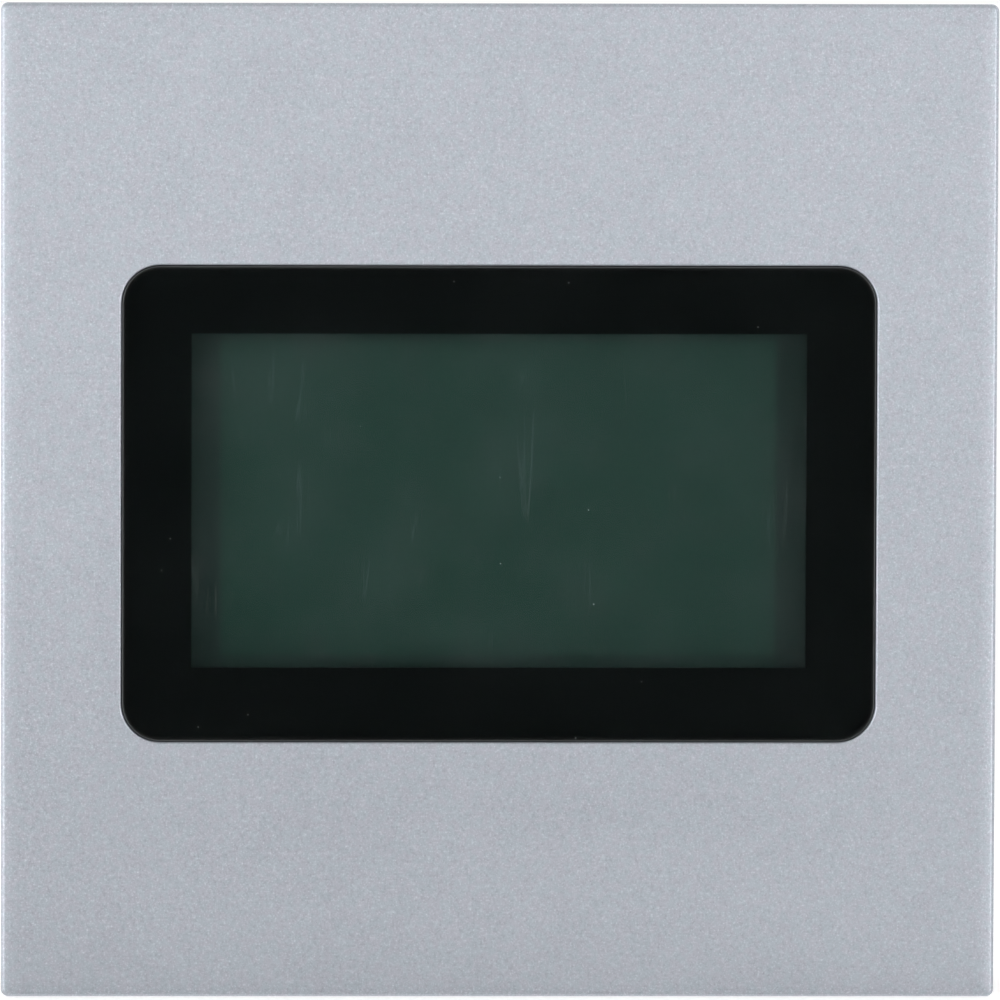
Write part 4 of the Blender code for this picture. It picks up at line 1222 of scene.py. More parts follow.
@dataclass
class CoverLens:
    """The cover glass with its soft edge, the printed border behind it, and the tape."""

    corner: float = 4.3 * MM
    soft_width: float = 1.25 * MM
    soft_drop: float = 0.085 * MM
    edge: float = 0.12 * MM
    window_corner: float = 0.05 * MM
    steps: int = 16

    def build(self, bench: Bench) -> None:
        """Makes the glass, the border and the tape.

        Args:
            bench: where the pieces go.
        """
        low, high, _, z = seat("lens_glass")
        size = (high.x - low.x, high.z - low.z)
        sheet = self.glass(size, low.y, high.y).moved(z=z)
        finishes = ("cover_glass", "ground_glass_edge")
        bench.piece("cover_glass_sheet", sheet, finishes, stands_for=("lens_glass",))
        self.border(bench, size, z)
        bench.softened("lens_tape", "foam_tape", edge=0.05 * MM)

    def glass(self, size: tuple[float, float], front: float, back: float) -> Shell:
        """Glass with a front that falls away as drop (1 - s)^3 towards a ground edge.

        Args:
            size: width and height.
            front: Y of the front face.
            back: Y of the back face.

        Returns:
            The closed shell.
        """
        shares = np.linspace(1, 0, 13)
        profile = [(front + self.soft_drop * (1 - s) ** 3, self.edge + s * self.soft_width) for s in shares]
        shoulder = front + self.soft_drop
        turn = np.linspace(0, math.pi / 2, 4)[1:]
        profile += [(shoulder + self.edge * (1 - math.cos(a)), self.edge * (1 - math.sin(a))) for a in turn]
        profile += [(back - self.edge / 2, 0.0), (back, self.edge / 2)]
        grid = framed(*size, self.corner, self.steps, profile)
        shell = skin(grid)
        rows, columns = len(grid) - 1, grid.shape[1]
        clear = (len(shares) - 1) * columns
        ground = [0] * clear + [1] * (rows * columns - clear) + [0, 0]
        return Shell(shell.points, shell.faces, ground)

    def border(self, bench: Bench, size: tuple[float, float], z: float) -> None:
        """The printed border: a thin film with a sharp-cornered window that is level with the part.

        Args:
            bench: where the pieces go.
            size: width and height.
            z: middle along Z.
        """
        low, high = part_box("lens_mask")
        places = np.array([vertex.co[:] for vertex in bench.nodes["lens_mask"].data.vertices])
        near = np.abs(places[:, [0, 2]] - (0, z)) < np.array(size) / 2 - 3 * MM
        inner = places[near.all(axis=1)]
        window = inner.max(0) - inner.min(0)
        middle = (inner.max(0) + inner.min(0)) / 2
        outer = rounded(size[0], size[1], self.corner, self.steps) + np.array([0, z])
        hole = rounded(window[0], window[2], self.window_corner, self.steps) + np.array([0, middle[2]])
        grid = stacked([outer, hole, hole, outer], [low.y, low.y, high.y, high.y])
        bench.piece("printed_border", skin(grid, ring=True), "black_print", stands_for=("lens_mask",))
        inside = inset(hole, 0.02 * MM)
        film = skin(stacked([inside, inside], [low.y + 0.03 * MM, high.y - 0.06 * MM]))
        bench.piece("window_film", film, "hazy_film")


@dataclass
class DisplayCell:
    """The liquid-crystal module: films, glasses, contacts, backlight, frame and its board."""

    pin: float = 0.64 * MM
    pin_count: int = 20
    pitch: float = 2.54 * MM
    resistors: int = 16

    def build(self, bench: Bench) -> None:
        """Makes the stack from the gasket to the board.

        Args:
            bench: where the pieces go.
        """
        bench.softened("display_gasket", "foam_tape", edge=0.15 * MM)
        bench.softened("lcd_bezel", "black_steel", edge=0.12 * MM)
        bench.dress("dark_display", "front_polariser", "rear_polariser")
        bench.softened("lcd_front_glass", "cell_glass", edge=0.05 * MM)
        bench.softened("lcd_rear_glass", "cell_glass", edge=0.05 * MM)
        bench.dress("white_film", "diffuser_sheet", "reflector_sheet")
        bench.softened("light_guide", "clear_acrylic", edge=0.1 * MM)
        bench.softened("zebra_strip_upper", "contact_rubber", edge=0.1 * MM)
        bench.softened("zebra_strip_lower", "contact_rubber", edge=0.1 * MM)
        self.backlight(bench)
        bench.softened("display_board", "green_mask", edge=0.06 * MM)
        for i in (1, 2, 3):
            self.blob(bench, f"driver_blob_{i}")
        self.header(bench)
        self.board_parts(bench)
        for i in FOUR:
            driven_screw(bench, f"display_screw_{i}", 1.15 * MM, 2.2 * MM, 1.6 * MM, Facing.BACK)

    def backlight(self, bench: Bench) -> None:
        """The edge-light strip along the guide's side.

        Args:
            bench: where the pieces go.
        """
        low, high, x, z = seat("backlight_strip")
        strip = block(high.x - low.x, high.z - low.z, low.y, high.y, 0.1 * MM, 0.05 * MM, 2, (x, z))
        bench.piece("lamp_strip", strip, "white_film", stands_for=("backlight_strip",))

    def blob(self, bench: Bench, node: str) -> None:
        """A resin blob over a driver: y = h (1 - r^2)^0.6.

        Args:
            bench: where the pieces go.
            node: the CAD node that it stands for.
        """
        low, high, x, z = seat(node)
        radius, height = (high.x - low.x) / 2, high.y - low.y
        shares = np.linspace(1, 0.02, 18)
        dome = [(low.y + height * (1 - s * s) ** 0.6, s * radius) for s in shares]
        shell = lathe([(low.y, 0.02 * radius), (low.y, radius)] + dome[1:], 56)
        bench.piece(f"{node}_resin", shell.moved(x=x, z=z), "black_epoxy", stands_for=(node,))

    def header(self, bench: Bench) -> None:
        """The pin header: a black bar notched between its pins, and gilt square pins.

        Args:
            bench: where the pieces go.
        """
        low, high, _, z = seat("display_header")
        bar_back = low.y + 2.5 * MM
        bars, pins = [], []
        for i in range(self.pin_count):
            x = (i - (self.pin_count - 1) / 2) * self.pitch
            bars.append(block(self.pitch, high.z - low.z, low.y, bar_back, 0.35 * MM, 0.1 * MM, 2, (x, z)))
            start = bar_back - 0.3 * MM
            pins.append(block(self.pin, self.pin, start, high.y, 0.05 * MM, 0.12 * MM, 1, (x, z)))
        shell = joined(bars) + joined(pins).finished(1)
        bench.piece("pin_header", shell, ("black_epoxy", "gilt"), stands_for=("display_header",))

    def board_parts(self, bench: Bench) -> None:
        """Two rows of small resistors on the back of the display board, each with tinned ends.

        Args:
            bench: where the pieces go.
        """
        _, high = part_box("display_board")
        row = self.resistors // 2
        shells = []
        for i in range(self.resistors):
            x = (i % row - (row - 1) / 2) * 6.2 * MM
            z = (-19.0 if i < row else -23.5) * MM
            shells.append(chip_part(0.5 * MM, high.y + 0.02 * MM, x, z))
        bench.piece("board_resistors", joined(shells), ("black_epoxy", "zinc_plate"))


def chip_part(height: float, seated: float, x: float, z: float) -> Shell:
    """A surface-mounted part towards +Y: a body and two tinned ends that wrap it.

    Args:
        height: how far it stands off the board.
        seated: Y of the board's face.
        x: middle along X.
        z: middle along Z.

    Returns:
        The shell, with the ends in the second finish.
    """
    length, width, cap = 2.0 * MM, 1.25 * MM, 0.4 * MM
    body = block(0.7 * length, 0.94 * width, seated, seated + 0.92 * height, 0.05 * MM, 0.04 * MM, 1, (x, z))
    ends = [
        block(cap, width, seated, seated + height, 0.08 * MM, 0.06 * MM, 2, (x + s * (length - cap) / 2, z))
        for s in (-1, 1)
    ]
    return body + joined(ends).finished(1)


class Facing(Enum):
    """Which way a screw's head faces, as the sign of its Y."""

    FRONT = -1
    BACK = 1


def driven_screw(
    bench: Bench, node: str, shank: float, head: float, height: float, towards: Facing
) -> None:
    """Replaces a screw's CAD node with a threaded pan-head screw in the same place.

    Args:
        bench: where it is made.
        node: the CAD screw.
        shank: thread radius.
        head: head radius.
        height: head height.
        towards: +1 if the head faces +Y.
    """
    low, high, x, z = seat(node)
    shell = pan_screw(shank, head, height, high.y - low.y - height)
    turn = 0.4 + sum(node.encode()) % 7 * 0.22  # each screw stops at an angle of its own
    cos, sin = math.cos(turn), math.sin(turn)
    spin = np.array([[cos, 0, -sin], [0, towards.value, 0], [sin, 0, cos]])
    y = high.y - height if towards is Facing.BACK else low.y + height
    shell = Shell(shell.points @ spin.T + np.array([x, y, z]), shell.faces)
    bench.piece(f"{node}_threaded", shell, "zinc_plate", stands_for=(node,))


# Electronics


@dataclass
class MainBoard:
    """The main board and what stands on the side that faces the display."""

    leg_count: int = 12
    parts: int = 30

    def build(self, bench: Bench) -> None:
        """Makes the board and its parts.

        Args:
            bench: where the pieces go.
        """
        bench.softened("main_board", "blue_mask", edge=0.06 * MM)
        bench.softened("display_socket", "black_epoxy", edge=0.1 * MM)
        self.controller(bench)
        self.capacitor(bench)
        bench.softened("power_inductor", "black_epoxy", edge=0.2 * MM)
        bench.softened("crystal", "zinc_plate", edge=0.25 * MM)
        self.small_parts(bench)
        for i in FOUR:
            driven_screw(bench, f"board_screw_{i}", 1.15 * MM, 2.2 * MM, 1.6 * MM, Facing.FRONT)

    def controller(self, bench: Bench) -> None:
        """The controller: a moulded body with a dot at one corner and bent legs on four sides.

        Args:
            bench: where the pieces go.
        """
        low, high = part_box("controller_chip")
        side = high.x - low.x - 2.0 * MM
        body = block(side, side, low.y, high.y - 0.1 * MM, 0.25 * MM, 0.12 * MM, 3)
        legs = []
        pitch = (side - 1.0 * MM) / self.leg_count
        front, back = high.y - 0.5 * MM, high.y - 0.25 * MM
        for i in range(self.leg_count):
            along = (i - (self.leg_count - 1) / 2) * pitch
            for s in (-1, 1):
                reach = s * (side / 2 + 0.4 * MM)
                for x, z, w, h in ((reach, along, 1.0, 0.32), (along, reach, 0.32, 1.0)):
                    legs.append(block(w * MM, h * MM, front, back, 0.06 * MM, 0.05 * MM, 1, (x, z)))
        shell = body + joined(legs).finished(1)
        bench.piece("controller", shell, ("black_epoxy", "zinc_plate"), stands_for=("controller_chip",))

    def capacitor(self, bench: Bench) -> None:
        """The reservoir capacitor: a can with a rolled groove and a square foot.

        Args:
            bench: where the pieces go.
        """
        low, high, x, z = seat("reservoir_capacitor")
        radius, y, bend = (high.x - low.x) / 2, low.y, 0.25 * MM
        turn = np.linspace(0, math.pi / 2, 5)[::-1]
        rim = [(y + bend * (1 - math.sin(a)), radius - bend * (1 - math.cos(a))) for a in turn]
        start = high.y - 2.3 * MM
        shares = np.linspace(0, 1, 7)
        groove = [(start + 0.5 * MM * s, radius - bend * math.sin(math.pi * s)) for s in shares]
        foot = high.y - 0.5 * MM
        can = lathe([(y, 0.0), (y, radius - 0.3 * MM)] + rim + groove + [(foot, radius), (foot, 0.0)], 56)
        base = block(2 * radius, 2 * radius, foot - 0.02 * MM, high.y, 0.8 * MM, 0.05 * MM).finished(1)
        finishes = ("zinc_plate", "black_epoxy")
        shell = (can + base).moved(x=x, z=z)
        bench.piece("electrolytic_can", shell, finishes, stands_for=("reservoir_capacitor",))

    def small_parts(self, bench: Bench) -> None:
        """Small ceramic parts on the back of the board, in two columns beside the sockets.

        Args:
            bench: where the pieces go.
        """
        _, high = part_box("main_board")
        shells = []
        for i in range(self.parts):
            x = (-12.5 if i % 2 else 12.5) * MM
            z = (i // 2 - (self.parts // 2 - 1) / 2) * 2.2 * MM
            shells.append(chip_part(0.7 * MM, high.y + 0.02 * MM, x, z))
        bench.piece("board_ceramics", joined(shells), ("ceramic_body", "zinc_plate"))


@dataclass
class LinkSocket:
    """A keyed box socket with two rows of gilt pins."""

    wall: float = 1.2 * MM
    base: float = 1.4 * MM
    key: float = 3.0 * MM
    key_start: float = 3.0 * MM
    rim: float = 0.2 * MM
    pin: float = 0.64 * MM
    pin_height: float = 4.6 * MM
    pitch: float = 2.54 * MM
    rows: int = 2
    columns: int = 5

    def build(self, bench: Bench, node: str, side: int) -> None:
        """Makes one socket. Side is +1 where its key faces up.

        Args:
            bench: where the pieces go.
            node: the CAD node that it stands for.
            side: 1 for the upper socket and -1 for the lower one.
        """
        low, high, _, z = seat(node)
        width, height = high.x - low.x, high.z - low.z
        floor = low.y + self.base
        shroud = block(width, height, low.y, high.y, 0.35 * MM, self.rim, 4).moved(z=z)
        opening = rounded(width - 2 * self.wall, height - 2 * self.wall, 0.3 * MM, 4)
        start, stop = floor + self.key_start, high.y + 1 * MM
        key_z = side * (height / 2 - self.wall / 2)
        key = block(self.key, 2 * self.wall, start, stop, 0.3 * MM, 0.1 * MM, 3, (0.0, key_z))
        cuts = [cavity(opening, floor, high.y, self.rim).moved(z=z), key.moved(z=z)]
        bench.piece(f"{node}_shroud", shroud, "natural_nylon", stands_for=(node,), cuts=cuts)
        bench.piece(f"{node}_pins", self.pins(floor).moved(z=z), "gilt")

    def pins(self, floor: float) -> Shell:
        """Square pins with tapered tips, in rows and columns about the middle.

        Args:
            floor: Y of the cavity's floor.

        Returns:
            The closed shell.
        """
        front, back = floor - 0.3 * MM, floor + self.pin_height
        shells = []
        for i in range(self.columns):
            for j in range(self.rows):
                x = (i - (self.columns - 1) / 2) * self.pitch * 0.95
                z = (j - (self.rows - 1) / 2) * self.pitch
                shells.append(block(self.pin, self.pin, front, back, 0.05 * MM, 0.16 * MM, 2, (x, z)))
        return joined(shells)


def cavity(outline: np.ndarray, bottom: float, mouth: float, radius: float) -> Shell:
    """Cutter whose mouth ends in a round: it widens by r (1 - cos a) up to the face and goes on.

    Args:
        outline: outline of the opening.
        bottom: Y of its far end.
        mouth: Y of the face that it opens in.
        radius: radius of the round.

    Returns:
        The closed shell.
    """
    angles = np.linspace(0, math.pi / 2, 5)
    rim = [(mouth - radius + radius * math.sin(a), -radius * (1 - math.cos(a))) for a in angles]
    return skin(carried(outline, [(bottom, 0.0)] + rim + [(mouth + 1 * MM, -radius - 0.02 * MM)]))


def capped(radius: float, top: float, rim: float, steps: int = 4) -> list[tuple[float, float]]:
    """End of a turned profile towards +Y, as (y, r) pairs: a rounded rim and a flat face."""
    return [(y, radius - d) for y, d in edge_round(top, -1, rim, steps)[::-1]] + [(top, 0.0)]


@dataclass
class Settings:
    """The address switch, the contrast trimmer and the reset switch."""

    clearance: float = 0.2 * MM
    slot_width: float = 0.6 * MM
    slot_depth: float = 0.65 * MM
    def build(self, bench: Bench) -> None:
        """Makes the three of them.

        Args:
            bench: where the pieces go.
        """
        self.address(bench)
        self.trimmer(bench)
        self.reset(bench)

    def address(self, bench: Bench) -> None:
        """The switch bank, its sliders with ridged knobs, its legs, and a mark at each on side.

        Args:
            bench: where the pieces go.
        """
        bench.softened("address_switch_body", "red_moulding", edge=0.12 * MM)
        low, high, middle, _ = seat("address_switch_body")
        legs, dots = [], []
        nub = high.y - 0.2 * MM
        for i in FOUR:
            node = f"address_slider_{i}"
            s_low, s_high, x, z = seat(node)
            top = s_high.y
            width, height = s_high.x - s_low.x, s_high.z - s_low.z
            foot = block(width, height, s_low.y, nub, 0.12 * MM, 0.08 * MM, 2, (x, z))
            knob = block(1.0 * MM, 1.0 * MM, nub - 0.1 * MM, top, 0.15 * MM, 0.12 * MM, 3, (x, z))
            ridge = block(0.12 * MM, 0.9 * MM, top - 0.1 * MM, top + 0.06 * MM, 0.03 * MM, 0.03 * MM, 2)
            ridges = [ridge.moved(x=x + dx, z=z) for dx in (-0.25 * MM, 0.0, 0.25 * MM)]
            shell = foot + knob + joined(ridges)
            bench.piece(f"{node}_knob", shell, "natural_nylon", body=node, stands_for=(node,))
            for side in (-1, 1):
                leg_x = middle + side * ((high.x - low.x) / 2 + 0.25 * MM)
                leg = block(0.7 * MM, 0.5 * MM, low.y, low.y + 0.9 * MM, 0.08 * MM, 0.06 * MM, 2, (leg_x, z))
                legs.append(leg)
            dot = [(high.y - 0.01 * MM, 0.3 * MM), (high.y + 0.02 * MM, 0.28 * MM)]
            dots.append(lathe(dot, 24, (high.x - 0.75 * MM, z)))
        bench.piece("address_switch_legs", joined(legs), "zinc_plate")
        bench.piece("address_switch_marks", joined(dots), "white_film")

    def trimmer(self, bench: Bench) -> None:
        """The trimmer's case with a round well, and a rotor with a notch and a slot, whose floor holds a dark
        steel strip as painted shade.

        Args:
            bench: where the pieces go.
        """
        low, high, x, z = seat("contrast_trimmer_body")
        node = "contrast_trimmer_rotor"
        r_low, r_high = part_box(node)
        radius, top = (r_high.x - r_low.x) / 2, r_high.y
        case = block(high.x - low.x, high.z - low.z, low.y, high.y, 0.4 * MM, 0.2 * MM, 4, (x, z))
        mouth = circle(radius + self.clearance, 64)
        well = cavity(mouth, r_low.y - 0.2 * MM, high.y, 0.15 * MM).moved(x=x, z=z)
        bench.piece("trimmer_case", case, "blue_moulding", stands_for=("contrast_trimmer_body",), cuts=[well])
        profile = [(r_low.y, 0.0), (r_low.y, radius)] + capped(radius, top, 0.15 * MM)
        floor, above = top - self.slot_depth, top + 1 * MM
        slot = block(6.0 * MM, self.slot_width, floor, above, 0.05 * MM, 0.04 * MM, 2, (x, z))
        notch_at = (x, z + 1.3 * MM)
        notch = block(0.9 * MM, 0.3 * MM, top - 0.25 * MM, above, 0.05 * MM, 0.04 * MM, 2, notch_at)
        rotor = lathe(profile, 64, (x, z))
        cuts = [slot, notch]
        bench.piece("trimmer_rotor", rotor, "natural_nylon", body=node, stands_for=(node,), cuts=cuts)
        # Painted shade: a dark steel strip at the slot's floor, riding with the rotor, darkens the slot.
        length, width = 2 * radius - 0.5 * MM, self.slot_width - 0.1 * MM
        strip = block(length, width, floor - 0.25 * MM, floor + 0.06 * MM, 0.1 * MM, 0.03 * MM, 2, (x, z))
        bench.piece("trimmer_slot_shade_strip", strip, "black_steel", body=node)

    def reset(self, bench: Bench) -> None:
        """The reset switch: a moulded base under a steel cover with four corner rivets, and its button.

        Args:
            bench: where the pieces go.
        """
        low, high, x, z = seat("reset_switch_body")
        side, cover, top = high.x - low.x, high.y - 0.7 * MM, high.y
        p_low, p_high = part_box("reset_plunger")
        radius = (p_high.x - p_low.x) / 2
        base = block(side, side, low.y, cover, 0.3 * MM, 0.12 * MM, 3, (x, z))
        plate = side - 0.2 * MM
        lid = block(plate, plate, cover - 0.2 * MM, top, 0.3 * MM, 0.12 * MM, 3, (x, z))
        rivet = [(top - 0.1 * MM, 0.45 * MM), (top + 0.12 * MM, 0.42 * MM), (top + 0.2 * MM, 0.25 * MM)]
        rivets = [lathe(rivet, 24, (x + sx * 2.2 * MM, z + sz * 2.2 * MM)) for sx, sz in QUADRANTS]
        well = cavity(circle(radius + self.clearance, 64), p_low.y - 0.3 * MM, top, 0.1 * MM).moved(x=x, z=z)
        bench.piece("reset_base", base, "black_epoxy", stands_for=("reset_switch_body",), cuts=[well])
        bench.piece("reset_cover", lid, "zinc_plate", cuts=[well])
        bench.piece("reset_rivets", joined(rivets), "black_epoxy")
        profile = [(p_low.y, 0.0), (p_low.y, radius)] + capped(radius, p_high.y, 0.3 * MM)
        button = lathe(profile, 56, (x, z))
        node = "reset_plunger"
        bench.piece("reset_button", button, "black_moulding", body=node, stands_for=(node,))


@dataclass
class TamperSwitch:
    """The tamper switch: a base with a post, a coil spring and a flanged plunger through the back."""

    plunger_radius: float = 2.5 * MM
    flange_radius: float = 3.6 * MM
    flange: float = 1.6 * MM
    bore: float = 1.625 * MM
    end: float = 3.8 * MM
    tip_round: float = 0.9 * MM
    wire: float = 0.175 * MM
    coil: float = 1.25 * MM
    turns: float = 6.0

    def build(self, bench: Bench) -> None:
        """Makes the base, the spring and the plunger.

        Args:
            bench: where the pieces go.
        """
        low, high, x, z = seat("tamper_switch_body")
        top = high.y - 1.0 * MM
        base = block(high.x - low.x, high.z - low.z, low.y, top, 0.4 * MM, 0.2 * MM, 4, (x, z))
        rod = [(top - 0.3 * MM, 0.7 * MM), (high.y - 0.2 * MM, 0.7 * MM), (high.y, 0.5 * MM)]
        post = lathe(rod, 32, (x, z))
        bench.piece("tamper_base", base + post, "black_epoxy", stands_for=("tamper_switch_body",))
        s_low, s_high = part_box("tamper_spring")
        coil = swept_coil(self.coil, self.wire, self.turns, s_low.y, s_high.y)
        bench.piece("tamper_coil", coil.moved(x=x, z=z), "zinc_plate", stands_for=("tamper_spring",))
        coil = bpy.data.objects["tamper_coil"]
        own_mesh(coil)
        self.plunger(bench, x, z)

    def plunger(self, bench: Bench, x: float, z: float) -> None:
        """The plunger: a hollow stem with a flange inside and a rounded end outside, with one fine ring.

        Args:
            bench: where the pieces go.
            x: middle along X.
            z: middle along Z.
        """
        low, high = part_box("tamper_plunger")
        r, tip = self.plunger_radius, high.y
        profile = [
            (tip - self.end, 0.0),
            (tip - self.end, self.bore),
            (low.y, self.bore),
            (low.y, self.flange_radius - 0.15 * MM),
            (low.y + 0.15 * MM, self.flange_radius),
            (low.y + self.flange - 0.15 * MM, self.flange_radius),
            (low.y + self.flange, self.flange_radius - 0.15 * MM),
            (low.y + self.flange, r + 0.1 * MM),
            (low.y + self.flange + 0.15 * MM, r),
            (tip - 1.9 * MM, r),
            (tip - 1.85 * MM, r - 0.08 * MM),
            (tip - 1.70 * MM, r - 0.08 * MM),
            (tip - 1.65 * MM, r),
        ]
        profile += capped(r, tip, self.tip_round, 8)
        stem = lathe(profile, 72, (x, z))
        node = "tamper_plunger"
        bench.piece("tamper_button", stem, "black_moulding", body=node, stands_for=(node,))


# Back


@dataclass
class RearHousing:
    """The moulded tub with every opening in its back, its seal, inserts, vent and screws."""

    wall: float = 2.2 * MM
    floor: float = 2.5 * MM
    corner: float = 4.0 * MM
    back_round: float = 1.5 * MM
    post_end: float = -21.9 * MM
    boss_end: float = -6.6 * MM
    channel_width: float = 10.0 * MM
    channel_depth: float = 1.2 * MM
    counterbore: float = 3.3 * MM
    counterbore_depth: float = 3.2 * MM
    bore: float = 1.65 * MM
    window_room: float = 0.9 * MM
    tool_hole: float = 2.0 * MM
    pin_hole: float = 1.5 * MM
    plunger_hole: float = 2.7 * MM
    vent_radius: float = 4.3 * MM
    vent_recess: float = 0.4 * MM
    insert_radius: float = 2.1 * MM
    insert_bore: float = 1.25 * MM
    insert_pitch: float = 0.5 * MM

    def build(self, bench: Bench) -> None:
        """Makes the tub and what is fitted to it.

        Args:
            bench: where the pieces go.
        """
        low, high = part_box("rear_housing")
        side = high.x - low.x
        tub, cuts = self.tub(side, low.y), self.openings(side)
        bench.piece("moulded_tub", tub, "black_moulding", stands_for=("rear_housing",), cuts=cuts)
        bench.piece("tub_posts", self.posts(), "black_moulding")
        self.seal(bench)
        self.vent(bench)
        for i in FOUR:
            self.insert(bench, f"mounting_insert_{i}")
            driven_screw(bench, f"housing_screw_{i}", 1.45 * MM, 2.8 * MM, 2.1 * MM, Facing.BACK)

    def tub(self, side: float, front: float) -> Shell:
        """Tub as one profile carried from the inner floor, over the rim and down to the back face.

        Args:
            side: side of the square outline.
            front: Y of the front face.

        Returns:
            The closed shell.
        """
        turn = np.linspace(0, math.pi / 2, 7)
        r, w, fillet = self.back_round, self.wall, 0.6 * MM
        profile = [(-self.floor, w + fillet)]
        sines = [math.sin(a) for a in turn[1:-1:2]]
        profile += [(-self.floor - fillet * s, w + fillet * (1 - s)) for s in sines]
        profile += [(-self.floor - fillet, w), (front + 0.2 * MM, w), (front, w - 0.2 * MM)]
        profile += [(front, 0.25 * MM), (front + 0.25 * MM, 0.0)]
        profile += [(-r + r * math.sin(a), r * (1 - math.cos(a))) for a in turn]
        return skin(framed(side, side, self.corner, 10, profile))

    def hole(self, outline: np.ndarray, x: float, z: float, depth: float, rim: float = 0.25 * MM) -> Shell:
        """A cutter from the back face to a depth, with a rounded rim at the face."""
        return cavity(outline, -depth, 0.0, rim).moved(x=x, z=z)

    def openings(self, side: float) -> list[Shell]:
        """The cutters, in groups whose shapes don't touch each other.

        Args:
            side: side of the square outline.

        Returns:
            The cutters.
        """
        through = self.floor + 1 * MM
        windows, holes, channels = [], [], []
        for node, sign in (("link_socket_in", 1), ("link_socket_out", -1)):
            low, high, _, z = seat(node)
            outline = rounded(high.x - low.x + 0.4 * MM, high.z - low.z + 0.4 * MM, 0.5 * MM, 5)
            windows.append(self.hole(outline, 0.0, z, through))
            start, stop = abs(z) + (high.z - low.z) / 2 - 1.0 * MM, side / 2 + 2 * MM
            trough = rounded(self.channel_width, stop - start, 0.4 * MM, 4)
            channels.append(self.hole(trough, 0.0, sign * (start + stop) / 2, self.channel_depth))
        low, high, x, _ = seat("address_switch_body")
        room = self.window_room
        outline = rounded(high.x - low.x + 2 * room, high.z - low.z + 2 * room, room, 6)
        flare = room + self.floor / 2
        slope = [(-through, 0.0), (-self.floor / 2, 0.0)]
        slope += [(-0.15 * MM, 0.12 * MM - flare), (1 * MM, -flare - 0.3 * MM)]
        windows.append(skin(carried(outline, slope)).moved(x=x))
        for node, radius in (
            ("contrast_trimmer_body", self.tool_hole),
            ("reset_switch_body", self.pin_hole),
            ("tamper_switch_body", self.plunger_hole),
        ):
            holes.append(self.hole(circle(radius, 56), *seat(node)[2:], through))
        for i in FOUR:
            holes.append(self.hole(circle(self.counterbore, 56), *seat(f"housing_screw_{i}")[2:], through))
            round_hole = circle(self.insert_radius + 0.1 * MM, 48)
            holes.append(self.hole(round_hole, *seat(f"mounting_insert_{i}")[2:], through, 0.15 * MM))
        _, _, x, z = seat("vent_membrane")
        holes.append(self.hole(circle(self.vent_radius, 72), x, z, self.vent_recess, 0.15 * MM))
        drill = lathe([(-through, 0.8 * MM), (0.0, 0.8 * MM)], 32)
        around = 2.2 * MM * circle(1.0, 3) + (x, z)
        breath = [drill.moved(x=bx, z=bz) for bx, bz in around.tolist()]
        return [joined(channels), joined(windows), joined(holes), joined(breath)]

    def posts(self) -> Shell:
        """Screw posts, insert bosses and board pillars inside the tub, each a ring about its bore.

        Returns:
            The closed shell.
        """
        shells = []
        root, bore = -self.floor + 0.5 * MM, self.insert_radius + 0.1 * MM
        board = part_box("main_board")[1].y + 0.1 * MM
        post, boss, cup = self.post_end, self.boss_end, -self.counterbore_depth
        screw_post = [
            (root, 4.75 * MM),
            (post + 0.3 * MM, 4.75 * MM),
            (post, 4.45 * MM),
            (post, self.bore),
            (cup, self.bore),
            (cup, self.counterbore),
            (root, self.counterbore),
        ]
        insert_boss = [(root, 3.75 * MM), (boss + 0.3 * MM, 3.75 * MM), (boss, 3.45 * MM), (boss, 0.4 * MM)]
        insert_boss += [(boss + 1.1 * MM, 0.4 * MM), (boss + 1.1 * MM, bore), (root, bore)]
        pilot = board + 4.0 * MM
        pillar = [(root, 0.0), (root, 3.0 * MM), (board, 3.0 * MM)]
        pillar += [(board, 1.25 * MM), (pilot, 1.25 * MM), (pilot, 0.0)]
        for i in FOUR:
            shells.append(lathe(screw_post, 48, seat(f"housing_screw_{i}")[2:], ring=True))
            shells.append(lathe(insert_boss, 48, seat(f"mounting_insert_{i}")[2:], ring=True))
            shells.append(lathe(pillar, 40, seat(f"board_screw_{i}")[2:]))
        return joined(shells)

    def seal(self, bench: Bench) -> None:
        """The seal: a flat silicone ring with a round bead on its outer side, squeezed at both faces.

        Args:
            bench: where the pieces go.
        """
        low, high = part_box("housing_seal")
        side, half = high.x - low.x, (high.y - low.y) / 2
        turn = np.linspace(0, math.pi, 9)
        profile = [(low.y + half * (1 - math.cos(a)), 0.3 * MM * (1 - math.sin(a))) for a in turn]
        profile += [(high.y, 1.5 * MM), (high.y - 0.1 * MM, 1.6 * MM)]
        profile += [(low.y + 0.1 * MM, 1.6 * MM), (low.y, 1.5 * MM)]
        grid = framed(side, side, 3.8 * MM, 10, profile)
        bench.piece("beaded_seal", skin(grid, ring=True), "grey_silicone", stands_for=("housing_seal",))

    def vent(self, bench: Bench) -> None:
        """The vent film: a disc with a pressed ring near its edge.

        Args:
            bench: where the pieces go.
        """
        low, high, x, z = seat("vent_membrane")
        radius, top = (high.x - low.x) / 2, high.y
        shares = np.linspace(0, 1, 7)
        ring = [(top - 0.05 * MM * math.sin(math.pi * s), radius * (0.82 - 0.08 * s)) for s in shares]
        profile = [(low.y, 0.0), (low.y, radius), (top - 0.05 * MM, radius), (top, radius - 0.05 * MM)]
        shell = lathe(profile + ring + [(top, 0.0)], 72, (x, z))
        bench.piece("vent_disc", shell, "porous_film", stands_for=("vent_membrane",))

